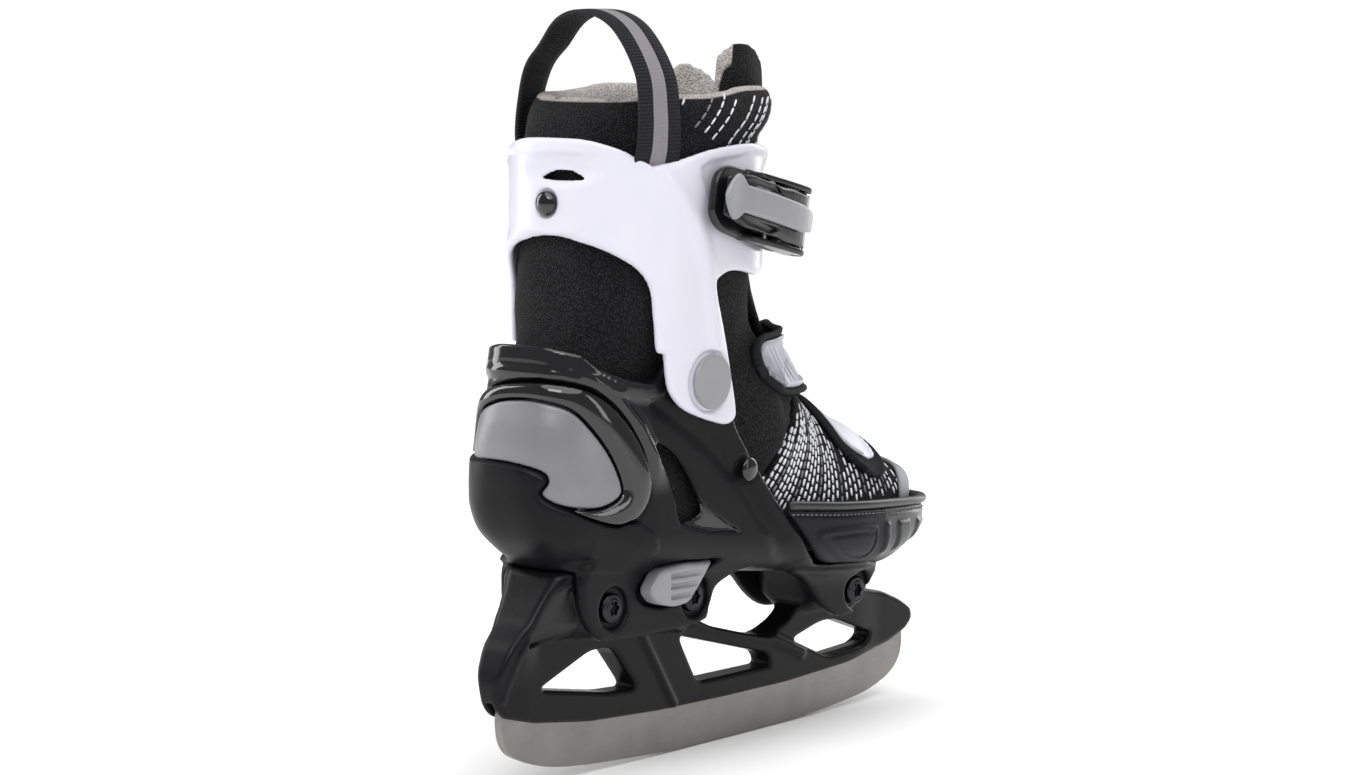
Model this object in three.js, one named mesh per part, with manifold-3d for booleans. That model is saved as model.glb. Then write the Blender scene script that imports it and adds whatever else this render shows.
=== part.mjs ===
// Size-adjustable children's ice skate, right foot.
// Millimetres. +X points to the toe, +Y to the inner (medial) side, +Z up.
// The origin is the middle of the blade's running edge.
import * as THREE from 'three'
import { mergeVertices } from 'three/addons/utils/BufferGeometryUtils.js'
import Module from 'manifold-3d'

const wasm = await Module()
wasm.setup()

// ---- driving dimensions ----
const GAP = 0.4 // left between pieces that touch
const BLADE_THICKNESS = 3.5
const BEAM_HALF = 5.5 // half the width of the holder's truss
const PEDESTAL_HALF = 15.8 // half the width of the holder where it is bolted
const LUG_INSIDE = 16.4 // the shell's lugs stand outside the pedestals
const LUG_OUTSIDE = 21
const SOLE_Z = 69 // height of the shell's underside above the origin
const SOLE_SLOPE = 0.121 // the heel stands higher than the toe
const TOE_SPRING_FROM = 55 // forward of this the sole curves up
const TOE_SPRING = 170
const SHELL_REAR = -120.5
const SHELL_FRONT = 108.5
const HEEL_HALF = 34
const BALL_HALF = 42
const ANKLE_IN = 0.4 // the shell narrows this much from the sole to the ankle
const SOLE_ROUND = 14 // the shell's lower edge is rounded by this much
const SHELL_WALL = 3
const FLOOR = 5 // thickness of the shell's sole
const SPLIT_X = -24 // where the forefoot parts from the rear boot, at z = 95
const CUFF_WALL = 3
const PIVOT = { x: -51, z: 149 } // cuff hinge, across the ankle
const BOLTS = [
  { name: 'rear', x: -85, z: 66 },
  { name: 'middle', x: -38, z: 64 },
  { name: 'front', x: 64.6, z: 53 }
]
const BOLT_HEAD = 5.7 // radius
const BOLT_SHANK = 2.4
const NUT_SLEEVE = 3.6
const WING_RIVET = { x: -25, z: 113 }
const REAR_SCREW_Z = 215.5
const HEEL_INSERT_EDGE = 22 // the grey insert wraps round the heel as far as this on the inner side
const HEEL_FRAME_EDGE = 29 // and its glossy frame as far as this
const BUCKLE = { x: -60, y: -47.4, z: 219.5, yaw: 7, pitch: 14 } // degrees; origin at its rear end

// ---- colours and finishes ----
const finish = (color, roughness, metalness = 0) => ({ color, roughness, metalness })
const LOOK = {
  steel: finish(0x9b9690, 0.38, 0.9),
  fastener: finish(0x141416, 0.35, 0.7),
  chrome: finish(0xc8c8cc, 0.15, 1),
  blackPlastic: finish(0x0b0b0d, 0.42),
  glossBlack: finish(0x050506, 0.12),
  whitePlastic: finish(0xe9e7f0, 0.25),
  greySatin: finish(0x8f8f92, 0.4, 0.2),
  toeRubber: finish(0x17181b, 0.6),
  blackFabric: finish(0x101013, 0.95),
  greyFabric: finish(0x77767a, 0.9),
  strapFabric: finish(0x0d0d10, 0.85)
}

// ---- small helpers ----
const DEG = Math.PI / 180
const clamp = (value, low, high) => Math.min(Math.max(value, low), high)
const ease = (value) => {
  const t = clamp(value, 0, 1)
  return t * t * (3 - 2 * t)
}
const interpolate = (table, at) => {
  const after = table.findIndex(([key]) => key >= at)
  if (after === 0) return table[0][1]
  if (after < 0) return table[table.length - 1][1]
  const [k0, v0] = table[after - 1]
  const [k1, v1] = table[after]
  return v0 + ((v1 - v0) * (at - k0)) / (k1 - k0)
}

function toSolid(geometry) {
  const bare = geometry.clone()
  bare.deleteAttribute('normal')
  bare.deleteAttribute('uv')
  const merged = mergeVertices(bare, 1e-4)
  const vertProperties = new Float32Array(merged.attributes.position.array)
  const triVerts = new Uint32Array(merged.index.array)
  return new wasm.Manifold(new wasm.Mesh({ numProp: 3, vertProperties, triVerts }))
}

function toGeometry(solid) {
  const mesh = solid.getMesh()
  const geometry = new THREE.BufferGeometry()
  geometry.setAttribute('position', new THREE.BufferAttribute(mesh.vertProperties, mesh.numProp))
  geometry.setIndex(new THREE.BufferAttribute(mesh.triVerts, 1))
  geometry.computeVertexNormals()
  return geometry
}

// A closed solid through rings of equally many points. Its end caps are strips between the
// points that face each other, so a ring may follow the curve of the sole.
function loft(rings) {
  const count = rings[0].length
  const positions = rings.flat()
  const faces = []
  for (let r = 0; r + 1 < rings.length; r++) {
    for (let i = 0; i < count; i++) {
      const j = (i + 1) % count
      const low = r * count
      const high = low + count
      faces.push(low + i, low + j, high + j, low + i, high + j, high + i)
    }
  }
  const top = (rings.length - 1) * count
  for (let i = 0; i + 1 < count / 2; i++) {
    const [a, b, c, d] = [i, i + 1, count - 2 - i, count - 1 - i]
    faces.push(b, a, d, b, d, c)
    faces.push(top + a, top + b, top + c, top + a, top + c, top + d)
  }
  const geometry = new THREE.BufferGeometry().setFromPoints(positions)
  geometry.setIndex(faces)
  const solid = toSolid(geometry)
  return solid.volume() < 0 ? toSolid(flipped(geometry)) : solid
}

function flipped(geometry) {
  const turned = geometry.clone()
  const index = turned.index.array
  for (let i = 0; i < index.length; i += 3) {
    const first = index[i]
    index[i] = index[i + 1]
    index[i + 1] = first
  }
  return turned
}

// A side-view outline [x, z] with softened corners, extruded across from y0 to y1.
function prism(outline, y0, y1, soften = 0) {
  const shape = new THREE.Shape()
  const points = outline.map(([x, z]) => new THREE.Vector2(x, z))
  points.forEach((corner, i) => {
    const before = points[(i + points.length - 1) % points.length]
    const after = points[(i + 1) % points.length]
    const cut = Math.min(soften, corner.distanceTo(before) / 2.2, corner.distanceTo(after) / 2.2)
    const enter = corner.clone().lerp(before, cut / corner.distanceTo(before))
    const leave = corner.clone().lerp(after, cut / corner.distanceTo(after))
    if (i === 0) shape.moveTo(enter.x, enter.y)
    else shape.lineTo(enter.x, enter.y)
    if (soften > 0) shape.quadraticCurveTo(corner.x, corner.y, leave.x, leave.y)
  })
  const geometry = new THREE.ExtrudeGeometry(shape, {
    depth: y1 - y0,
    bevelEnabled: false,
    curveSegments: 2
  })
  geometry.rotateX(Math.PI / 2)
  geometry.translate(0, y1, 0)
  return toSolid(geometry)
}

function box(x0, x1, y0, y1, z0, z1) {
  const geometry = new THREE.BoxGeometry(x1 - x0, y1 - y0, z1 - z0)
  geometry.translate((x0 + x1) / 2, (y0 + y1) / 2, (z0 + z1) / 2)
  return toSolid(geometry)
}

// A round bar along Y.
function barY(radius, x, z, y0, y1, sides = 12) {
  const geometry = new THREE.CylinderGeometry(radius, radius, y1 - y0, sides)
  geometry.translate(x, (y0 + y1) / 2, z)
  return toSolid(geometry)
}

const mirrorY = (solid) => solid.mirror([0, 1, 0])
const addAll = (solids) => solids.reduce((all, one) => all.add(one))
const cutAll = (solid, tools) => tools.reduce((left, tool) => left.subtract(tool), solid)

// ---- the shape of the foot: shell, toe cap and soft boot share it ----
const soleHeight = (x) =>
  SOLE_Z - SOLE_SLOPE * x + Math.max(0, x - TOE_SPRING_FROM) ** 2 / TOE_SPRING
const medialShift = (x) => 2 * ease((x - 20) / 60)

// One outline at height h above the sole. grow is how far it stands outside the shell's skin,
// and profile limits it to the instep's slope where it is a foot and not a shell.
function footRing(h, grow, profile = null, sides = 28) {
  const base = SOLE_ROUND * (1 - clamp(h / 16, 0, 1)) ** 2
  const rear = SHELL_REAR + 10 * ease((h - 30) / 60) + base - grow
  const front = profile ? profile.frontAt(h) : SHELL_FRONT - base + grow
  const ring = []
  for (let i = 0; i < sides; i++) {
    const angle = (2 * Math.PI * (i + 0.5)) / sides
    const x = (rear + front) / 2 + ((front - rear) / 2) * Math.cos(angle)
    const widest = HEEL_HALF + (BALL_HALF - HEEL_HALF) * ease((x + 60) / 110)
    const round = (1 - Math.abs(Math.cos(angle)) ** 3.6) ** (1 / 3.6)
    let half = (widest - base - ANKLE_IN * ease((h - 25) / 30) + grow) * round
    if (profile) half = Math.min(half, profile.halfAt(x, h))
    ring.push(new THREE.Vector3(x, medialShift(x) + Math.sign(Math.sin(angle)) * half, soleHeight(x) + h))
  }
  return ring
}

const footLoft = (levels, grow, profile) => loft(levels.map((h) => footRing(h, grow, profile)))

// The instep: height of the boot's ridge line along its length, from the ankle to the toe.
const RIDGE = [
  [-60, 640], [5, 215], [8, 185], [18, 165], [44, 132], [60, 121], [91, 104.5], [100, 98], [105, 89]
]
const DOME_FROM = 16 // above the sole, where the sides begin to lean in

function instep(grow) {
  const ridge = (x) => interpolate(RIDGE, x - grow) + grow - soleHeight(x)
  const frontAt = (h) => {
    let low = -60
    let high = 105 + grow
    for (let i = 0; i < 40; i++) {
      const middle = (low + high) / 2
      if (ridge(middle) > Math.max(h, DOME_FROM + 4)) low = middle
      else high = middle
    }
    return low - (h < DOME_FROM ? SOLE_ROUND * 0.4 * (1 - h / DOME_FROM) : 0)
  }
  const halfAt = (x, h) => {
    const widest = 29.5 + 8 * ease((x + 60) / 110) + grow
    if (h <= DOME_FROM) return widest
    const rise = clamp((h - DOME_FROM) / (ridge(x) - DOME_FROM), 0, 0.9999)
    return widest * Math.sqrt(1 - rise * rise)
  }
  return { frontAt, halfAt }
}

const LEVELS = [9, 16, 30, 50, 70, 90] // outlines shared by everything that nests

// ---- runner and holder ----
function bladeRunner() {
  const outline = [
    [-20, 0], [30, 0], [60, 0.6], [92, 3.4], [106, 6.6], [114, 10], [119, 14.5], [121.2, 20], [121.3, 28],
    [108, 27], [90, 25.5], [40, 23], [-40, 24], [-90, 27], [-125.4, 34], [-126, 27],
    [-125, 20], [-121.5, 14.6], [-115, 11], [-106, 7.6], [-95, 5.2], [-80, 3.4], [-61, 2], [-41, 0.8]
  ]
  return prism(outline, -BLADE_THICKNESS / 2, BLADE_THICKNESS / 2)
}

function pedestal(levels) {
  const rings = levels.map(([z, x0, x1, halfRear, half]) => {
    const full = x0 + 16
    const corners = [[x0, -halfRear], [full, -half], [x1, -half], [x1, half], [full, half], [x0, halfRear]]
    return corners.map(([x, y]) => new THREE.Vector3(x, y, z ?? soleHeight(x) - GAP))
  })
  return loft(rings)
}

const boltHoles = (radius) => BOLTS.map(({ x, z }) => barY(radius, x, z, -40, 40))

function bladeHolder() {
  const outline = [
    [-127, 29], [-110, 24.5], [-80, 20.3], [-40, 18], [0, 17.2], [40, 17], [80, 18.7], [110, 23],
    [124, 28.5], [126.5, 32], [125.5, 36], [110, 44], [93, 48], [82, 52.5], [73, 58], [70, 61],
    [38, 63], [50, 47], [25, 37], [-18, 50], [-26, 58], [-27, 71.5], [-106, 81], [-116, 65],
    [-126, 55], [-132, 42], [-132, 36]
  ]
  const windows = [
    [[-108, 38], [-79, 47], [-69, 47], [-52, 29]],
    [[-28, 45], [-17, 26], [29, 26], [25, 31]],
    [[43, 34], [61, 38], [71, 38], [96, 29], [91, 25], [66, 24]]
  ]
  const rearPedestal = pedestal([
    [45, -130, -38, 4.8, BEAM_HALF], [56, -124.5, -31, 5.6, PEDESTAL_HALF],
    [66, -115, -27, 7.5, PEDESTAL_HALF], [null, -106, -27, 8, PEDESTAL_HALF]
  ])
  const frontPedestal = pedestal([
    [40, 44, 86, BEAM_HALF, BEAM_HALF], [49, 46, 80, 12, PEDESTAL_HALF],
    [55, 43, 73, 13, PEDESTAL_HALF], [null, 39, 70, 13, PEDESTAL_HALF]
  ])
  const slot = prism([
    [-140, 10], [-127, 34.6], [-90, 27.6], [-40, 24.6], [40, 23.6], [90, 26.1], [108, 27.6],
    [121.8, 28.6], [122, 10]
  ], -BLADE_THICKNESS / 2 - GAP / 2, BLADE_THICKNESS / 2 + GAP / 2)
  const body = addAll([prism(outline, -BEAM_HALF, BEAM_HALF, 3), rearPedestal, frontPedestal])
  const cuts = windows.map((w) => prism(w, -30, 30, 4))
  return cutAll(body, [...cuts, slot, ...boltHoles(NUT_SLEEVE + GAP)])
}

function holderBolt({ x, z }) {
  const shank = barY(BOLT_SHANK, x, z, -18.6, 12)
  const head = barY(BOLT_HEAD, x, z, -20.9, -18.5)
  const recess = barY(2.6, x, z, -22, -19.6, 6)
  return head.add(shank).subtract(recess)
}

function barrelNut({ x, z }) {
  const sleeve = barY(NUT_SLEEVE, x, z, 2, 18.6)
  const head = barY(BOLT_HEAD, x, z, 18.5, 20.9)
  return head.add(sleeve).subtract(barY(BOLT_SHANK + GAP, x, z, 0, 14))
}

// ---- shell ----
const BUTTON_OUTLINE = [[-72, 71], [-66, 78.5], [-52, 79.5], [-32, 78], [-49, 64], [-58, 63.5], [-68, 66]]
const BUTTON_MIDDLE = [-52, 72]
const BUTTON_SEAT = { wider: 1.05, taller: 1.11 }
const STEM = { x0: -52, x1: -42, z0: 75.9, z1: 78.7 }
const COUNTERBORE = 8 // radius of the bolt heads' seats
const COUNTERBORE_FROM = 18.4 // distance of their floors from the middle

const RIVET_SHANK = 2
const PIVOT_RIVET = 4
const pivotHole = () => barY(PIVOT_RIVET + GAP, PIVOT.x, PIVOT.z, -60, 60)

function shellBody() {
  const outer = footLoft([0, 4, ...LEVELS, 112], 0)
  const inner = footLoft([FLOOR, ...LEVELS, 125], -SHELL_WALL)
  const side = prism([
    [-135, 60], [-135, 163.5], [-109, 163.5], [-99, 156], [-90, 152.5], [-79, 151], [-72, 154], [-67, 161],
    [-60, 165], [-50, 166.5], [-41, 164], [-35, 158], [-32, 148], [-31.5, 131], [-20, 115], [-11, 103],
    [-3, 93], [3, 86.5], [11, 78.2], [19, 72.6], [28, 69.2], [70, 64], [70, 55]
  ], -60, 60, 3)
  const rearLug = [
    [-108, 85], [-106, 76], [-103, 66], [-95, 56.5], [-84, 53.8], [-38, 53.8], [-31, 60], [-27, 68], [-18, 74]
  ]
  const frontLug = [
    [24, 69], [31, 61.5], [41, 51], [51, 44.5], [60, 43.5], [68, 46.5], [72.5, 52], [74, 58], [72, 60.6],
    [69, 63.5]
  ]
  const lugs = [rearLug, frontLug].map((outline) => prism(outline, -LUG_OUTSIDE, -LUG_INSIDE, 3))
  const window = [
    [-72, 126], [-64, 122], [-57, 113], [-52, 105], [-47, 100], [-28, 89.5], [-44, 91.5], [-60, 97],
    [-64, 106]
  ]
  const [midX, midZ] = BUTTON_MIDDLE
  const seatOutline = BUTTON_OUTLINE.map(([x, z]) => [
    midX + (x - midX) * BUTTON_SEAT.wider, midZ + (z - midZ) * BUTTON_SEAT.taller
  ])
  const buttonSeat = prism(seatOutline, -60, -18.8)
  const cuts = [
    ...boltHoles(NUT_SLEEVE + GAP),
    ...BOLTS.flatMap(({ x, z }) => {
      const seat = barY(COUNTERBORE, x, z, COUNTERBORE_FROM, 30)
      return [seat, mirrorY(seat)]
    }),
    prism(window, -60, -20, 3), prism(window, 20, 60, 3),
    pivotHole(), barY(RIVET_SHANK + 0.5, WING_RIVET.x, WING_RIVET.z, -60, 60),
    buttonSeat,
    box(STEM.x0 - 0.6, STEM.x1 + 0.6, -30, -5.5, STEM.z0 - 0.6, STEM.z1 + 0.6),
    box(STEM.x0 - 0.6, STEM.x1 + 0.6, -16, -5.5, STEM.z0, 84)
  ]
  const walls = outer.subtract(inner).intersect(side)
  return cutAll(addAll([walls, ...lugs, ...lugs.map(mirrorY)]), cuts)
}

// A skin that follows the shell's outside between two stand-off distances.
const shellSkin = (near, far) => {
  return footLoft(LEVELS, far).subtract(footLoft([4, ...LEVELS, 95], near))
}

const INSERT_OUTLINE = [
  [-130, 140], [-116, 142.5], [-109, 141.5], [-101, 134], [-95, 124], [-91.5, 113], [-93, 109], [-101, 106.5],
  [-110, 107.5], [-117, 111], [-118, 118], [-130, 121]
]
const GLOSS_OUTLINE = [
  [-130, 146], [-114, 150], [-106, 149], [-95, 139], [-86, 125], [-81, 111], [-85, 102.5], [-94, 99.5],
  [-104, 100.5], [-114, 104.5], [-130, 108]
]

const aroundHeel = (outline) => prism(outline, -60, 60, 4)
const INSERT_MIDDLE = { x: -110, z: 124 }

function heelInsert() {
  const wrap = box(-140, 0, -60, HEEL_INSERT_EDGE, 0, 200)
  return shellSkin(0.4, 1.6).intersect(aroundHeel(INSERT_OUTLINE)).intersect(wrap)
}

// The frame runs round the insert, a gap away from it.
function heelGlossFrame() {
  const gapRound = INSERT_OUTLINE.map(([x, z]) => [
    x > INSERT_MIDDLE.x ? x + 2 * GAP : x, z + (z > INSERT_MIDDLE.z ? 2 * GAP : -2 * GAP)
  ])
  const hole = aroundHeel(gapRound).intersect(box(-140, 0, -60, HEEL_INSERT_EDGE + GAP, 0, 200))
  const wrap = box(-140, 0, -60, HEEL_FRAME_EDGE, 0, 200)
  return shellSkin(0.4, 1.9).intersect(aroundHeel(GLOSS_OUTLINE)).intersect(wrap).subtract(hole)
}

function wingRivet() {
  const { x, z } = WING_RIVET
  return barY(4.6, x, z, -38.3, -36.5).add(barY(RIVET_SHANK, x, z, -37, -33.6))
}

// The button has a stem through the shell, with a small pawl that meets the slide plate's rack.
function sizeButton() {
  const face = prism(BUTTON_OUTLINE, -28, -22, 3)
  const stem = box(STEM.x0, STEM.x1, -23, -10, STEM.z0, STEM.z1)
  const tooth = box(-49, -47, -13.5, -10, 78, 79.7)
  return face.add(stem).add(tooth)
}

const buttonSpring = () => barY(1.3, (STEM.x0 + STEM.x1) / 2, (STEM.z0 + STEM.z1) / 2, -9.8, -6, 10)

// ---- extending toe ----
function toeCap() {
  const levels = [0, 4, 9, 16, 24, 34]
  const outer = footLoft(levels, 1)
  const inner = footLoft([FLOOR, 9, 16, 24, 45], -2)
  const side = prism([
    [-3.6, 95], [0, 91.2], [4, 86.8], [12, 78.8], [20, 73.2], [28.4, 70], [71.6, 65], [71.6, 50], [130, 50],
    [130, 83.5], [104, 84.5], [78, 87.5], [52, 89.6], [26, 91.8]
  ], -60, 60)
  return outer.subtract(inner).intersect(side)
}

function toeRim() {
  const rim = [[-3.2, 95.4], [26, 92.2], [52, 90], [78, 87.9], [130, 83.7]]
  const lower = rim.map(([x, z]) => [x, z + 0.2])
  const upper = rim.map(([x, z]) => [x, z + 3.4]).reverse()
  const ring = footLoft([8, 16, 24, 36], 1.8).subtract(footLoft([4, 8, 16, 24, 45], -2))
  return ring.intersect(prism([...lower, ...upper], -60, 60))
}

// A slab that follows the sole, from h0 to h1 above it.
function soleSlab(x0, x1, half, h0, h1, steps) {
  const rings = []
  for (let i = 0; i <= steps; i++) {
    const x = x0 + ((x1 - x0) * i) / steps
    const z = soleHeight(x)
    const corners = [[-half, h0], [half, h0], [half, h1], [-half, h1]]
    rings.push(corners.map(([y, h]) => new THREE.Vector3(x, y, z + h)))
  }
  return loft(rings)
}

function slidePlate() {
  const teeth = []
  for (let x = -56; x < -30; x += 4) {
    teeth.push(box(x, x + 2, -20, -8.5, soleHeight(x) + 5, soleHeight(x) + 6.6))
  }
  return cutAll(soleSlab(-60, 92, 13, 5.6, 8.2, 14), teeth)
}

// ---- soft boot ----
const BOOT_LEVELS = [9, 16, 23, 30, 40, 50, 60, 70, 80, 90, 100, 112]
const SPLIT_LEAN = 1.32 // mm forward for each mm up

function bootWalls() {
  const outer = footLoft(BOOT_LEVELS, -SHELL_WALL - 2.6, instep(0))
  const inner = footLoft([12, 16, 30, 50, 70, 90, 104, 125], -SHELL_WALL - 8, instep(-5.5))
  return outer.subtract(inner)
}

const splitAt = (z, shift) => SPLIT_X + (z - 95) * SPLIT_LEAN + shift

function footUpper() {
  const side = [
    [-130, 60], [-130, 150], [-95, 158], [-60, 165], [0, 169], [splitAt(169, -0.5), 169],
    [splitAt(60, -0.5), 60]
  ]
  return bootWalls().intersect(prism(side, -60, 60))
}

function forefootUpper() {
  const side = [[splitAt(60, 0.5), 60], [splitAt(160, 0.5), 160], [130, 160], [130, 60]]
  return bootWalls().intersect(prism(side, -60, 60))
}

// A reinforcing patch on the tip of the toe, above the rim.
function toePatch() {
  const levels = [16, 23, 30, 40, 50]
  const outer = footLoft(levels, 0, instep(1.3))
  const inner = footLoft([12, ...levels, 60], -0.4, instep(0.5))
  return outer.subtract(inner).intersect(box(93, 130, -60, 60, 90.8, 140))
}

function footbed() {
  const outer = footLoft([12.6, 15.4], -SHELL_WALL - 12)
  return outer.intersect(box(-130, 44, -60, 60, 0, 130))
}

// Straps and tongue lie on the instep's ridge line. An arch stands across it at a distance along
// the ridge; its angle runs from 0 on the inner side to 180 on the outer side.
const RIDGE_LINE = new THREE.CatmullRomCurve3(
  RIDGE.slice(2).map(([x, z]) => new THREE.Vector3(x, 0, z))
)
const ARCH = { half: 34.5, depth: 45, power: 2.4 }

function archPoint(along, angle, out) {
  const at = along / RIDGE_LINE.getLength()
  const ridge = RIDGE_LINE.getPointAt(at)
  const slope = RIDGE_LINE.getTangentAt(at)
  const normal = new THREE.Vector3(-slope.z, 0, slope.x)
  const c = Math.cos(angle * DEG)
  const s = Math.sin(angle * DEG)
  const reach = (Math.abs(c) ** ARCH.power + Math.abs(s) ** ARCH.power) ** (-1 / ARCH.power)
  const lift = (ARCH.depth + out) * reach * s - ARCH.depth
  const point = ridge.addScaledVector(normal, lift)
  point.y = medialShift(point.x) + (ARCH.half + out) * reach * c
  return point
}

const TONGUE = { start: 8, end: 52, edge: 66, near: 1.8, far: 4.2 } // edge is an angle of the arch
const OVER_TONGUE = 4.6

// Half the soft boot's width at a point of its side view.
function bootHalf(x, z) {
  const wide = 8 * ease((x + 60) / 110)
  const sole = soleHeight(x)
  const rise = clamp((z - sole - 16) / (interpolate(RIDGE, x) - sole - 16), 0, 1)
  return Math.min(28.4 + wide, (29.5 + wide) * Math.sqrt(1 - rise ** 2))
}

// A strap crosses the ridge line and runs down both sides of the boot, away from the ridge by its
// fall, [x, z] in the side view for half a turn. The angle is measured as on an arch.
function strapPoint({ fall }, along, angle, out) {
  const at = along / RIDGE_LINE.getLength()
  const ridge = RIDGE_LINE.getPointAt(at)
  const slope = RIDGE_LINE.getTangentAt(at)
  const c = Math.cos(angle * DEG)
  const s = Math.sin(angle * DEG)
  const x = ridge.x + fall[0] * (1 - s)
  const z = ridge.z + fall[1] * (1 - s)
  const y = medialShift(x) + Math.sign(c) * (bootHalf(x, z) + out * Math.abs(c))
  return new THREE.Vector3(x - slope.z * out * s, y, z + slope.x * out * s)
}

// How far off the boot the instep strap lies: it climbs over the tongue and settles at the sides.
const instepSeat = (angle) => 1.5 + OVER_TONGUE * ease((50 - Math.abs(angle - 90)) / 16)

const STRAPS = {
  instep: {
    along: () => 44, width: (share) => 21 + 10 * share, from: 28, to: 132, fall: [-80, 0],
    seat: instepSeat
  },
  toe: {
    along: (share) => 74 + 8 * share, width: (share) => 17 + 14 * share, from: 34, to: 132, fall: [0, -46],
    seat: () => 2
  }
}
const STRAP_THICKNESS = 2.4
const TIP_THICKNESS = 3
const TIP_SPAN = 18 // degrees of the strap's turn that its moulded tip takes

function strapPiece(strap, along, width, thickness, from, to, steps) {
  const rings = []
  for (let i = 0; i <= steps; i++) {
    const share = i / steps
    const angle = from + (to - from) * share
    const near = strap.seat(angle)
    const far = near + thickness
    const corners = [[-0.5, near], [0.5, near], [0.5, far], [-0.5, far]]
    const toPoint = ([side, out]) => strapPoint(strap, along(share) + side * width(share), angle, out)
    rings.push(corners.map(toPoint))
  }
  return loft(rings)
}

const strapBand = (strap) =>
  strapPiece(strap, strap.along, strap.width, STRAP_THICKNESS, strap.from, strap.to, 20)

function strapTip(strap) {
  const width = (share) => strap.width(1) * (0.95 - 0.3 * share)
  return strapPiece(strap, () => strap.along(1), width, TIP_THICKNESS, strap.to + 1.2, strap.to + TIP_SPAN, 4)
}

// The tongue fills the throat between the two sides of the boot, under the straps.
function tonguePad() {
  const rings = []
  const { start, end, edge, near, far } = TONGUE
  for (let along = start; along <= end; along += 4) {
    const ring = []
    for (let angle = edge; angle <= 180 - edge; angle += 8) ring.push(archPoint(along, angle, near))
    for (let angle = 180 - edge; angle >= edge; angle -= 8) ring.push(archPoint(along, angle, far))
    rings.push(ring)
  }
  return loft(rings)
}

// ---- cuff and collar ----
const cuffShare = (z) => clamp((z - 149) / 93, -0.3, 1.3)

function cuffRing(z, inset, sides = 32) {
  const t = cuffShare(z)
  const top = Math.max(0, z - 238) * 0.25
  const cx = -52 + 7 * t + top
  const a = 50.2 - inset
  const b = 38.6 + 4.6 * Math.max(t, 0) - inset - top * 0.4
  const power = 3.2 - 0.8 * clamp((z - 150) / 55, 0, 1)
  const ring = []
  for (let i = 0; i < sides; i++) {
    const angle = (2 * Math.PI * (i + 0.5)) / sides
    const c = Math.cos(angle)
    const s = Math.sin(angle)
    const reach = (Math.abs(c) ** power + Math.abs(s) ** power) ** (-1 / power)
    ring.push(new THREE.Vector3(cx + a * reach * c, b * reach * s, z))
  }
  return ring
}

const cuffLoft = (levels, inset) => loft(levels.map((z) => cuffRing(z, inset)))

const CUFF_LEVELS = [150, 170, 190, 205, 225, 238, 250]
const THROAT_HALF = 21 // the cuff is open this far each side of the shin

function cuffBody() {
  const side = prism([
    [-110, 240.5], [-96, 240], [-92, 238.5], [-86, 235], [-79, 230], [-68, 231.5], [-54, 235], [-36, 236.5],
    [-24, 236], [-11, 233.5], [0, 229], [1, 205], [-8, 191], [-16, 186.5], [-24, 187], [-35, 189], [-44, 188],
    [-48.5, 184], [-42, 166], [-37, 150], [-34, 137], [-35.5, 132.5], [-42, 131.6], [-56, 135.5],
    [-67, 140], [-72.5, 147], [-74, 154], [-75, 161], [-78, 163], [-79, 174], [-80, 185], [-83, 192],
    [-90, 197.5], [-95, 202], [-98, 205], [-110, 206]
  ], -60, 60, 2.5)
  const slot = loft([-104, -88].map((x) => {
    const lens = [[-15.5, 224.6], [-4.5, 223.8], [6.5, 224.6], [-4.5, 228.2]]
    return lens.map(([y, z]) => new THREE.Vector3(x, y, z))
  }))
  const screwHole = loft([-104, -88].map((x) => circleX(x, 0, REAR_SCREW_Z, 2.4)))
  const outer = cuffLoft([128, ...CUFF_LEVELS], 0)
  const inner = cuffLoft([120, ...CUFF_LEVELS, 262], CUFF_WALL)
  const front = box(-30, 30, -THROAT_HALF, THROAT_HALF, 120, 260)
  const cuts = [front, slot, screwHole, pivotHole(), cuffRivetHole(), anchorHole()]
  return cutAll(outer.subtract(inner).intersect(side), cuts)
}

// A circle in the plane at x, for bars that run along X.
function circleX(x, y, z, radius, sides = 14) {
  const ring = []
  for (let i = 0; i < sides; i++) {
    const angle = (2 * Math.PI * i) / sides
    ring.push(new THREE.Vector3(x, y + radius * Math.cos(angle), z + radius * Math.sin(angle)))
  }
  return ring
}

function rearScrew() {
  const profile = [[-99.9, 3.4], [-98.6, 4.6], [-97.8, 4.6]]
  const head = loft(profile.map(([x, r]) => circleX(x, 0, REAR_SCREW_Z, r)))
  return head.add(loft([-98, -94].map((x) => circleX(x, 0, REAR_SCREW_Z, 2))))
}

const COLLAR_LEVELS = [...CUFF_LEVELS, 268]
const COLLAR_PAD = 8

function collarBody(inset) {
  const outer = cuffLoft(COLLAR_LEVELS, inset)
  const inner = cuffLoft([140, ...COLLAR_LEVELS, 280], inset + COLLAR_PAD)
  return outer.subtract(inner)
}

const COLLAR_SIDE = [
  [-115, 257], [-60, 257], [-30, 261], [-8, 264], [6, 260], [12, 240], [12, 198], [-10, 187], [-60, 172.5],
  [-95, 164], [-115, 160]
]

function ankleCollar() {
  const throat = box(-22, 30, -15, 15, 150, 280)
  return collarBody(CUFF_WALL + 0.8).intersect(prism(COLLAR_SIDE, -60, 60, 3)).subtract(throat)
}

function tongueTop() {
  const band = cuffLoft(COLLAR_LEVELS, CUFF_WALL - 0.5)
    .subtract(cuffLoft([140, ...COLLAR_LEVELS, 280], CUFF_WALL + 7))
  const side = [[-20, 200], [20, 200], [20, 266], [-20, 266]]
  return band.intersect(prism(side, -14.4, 14.4)).intersect(box(-20, 30, -14.4, 14.4, 150, 300))
}

const LOOP_TURN = 30 // degrees; the webbing's legs lie along the collar's curve
const LOOP_HALF = 9

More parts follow.
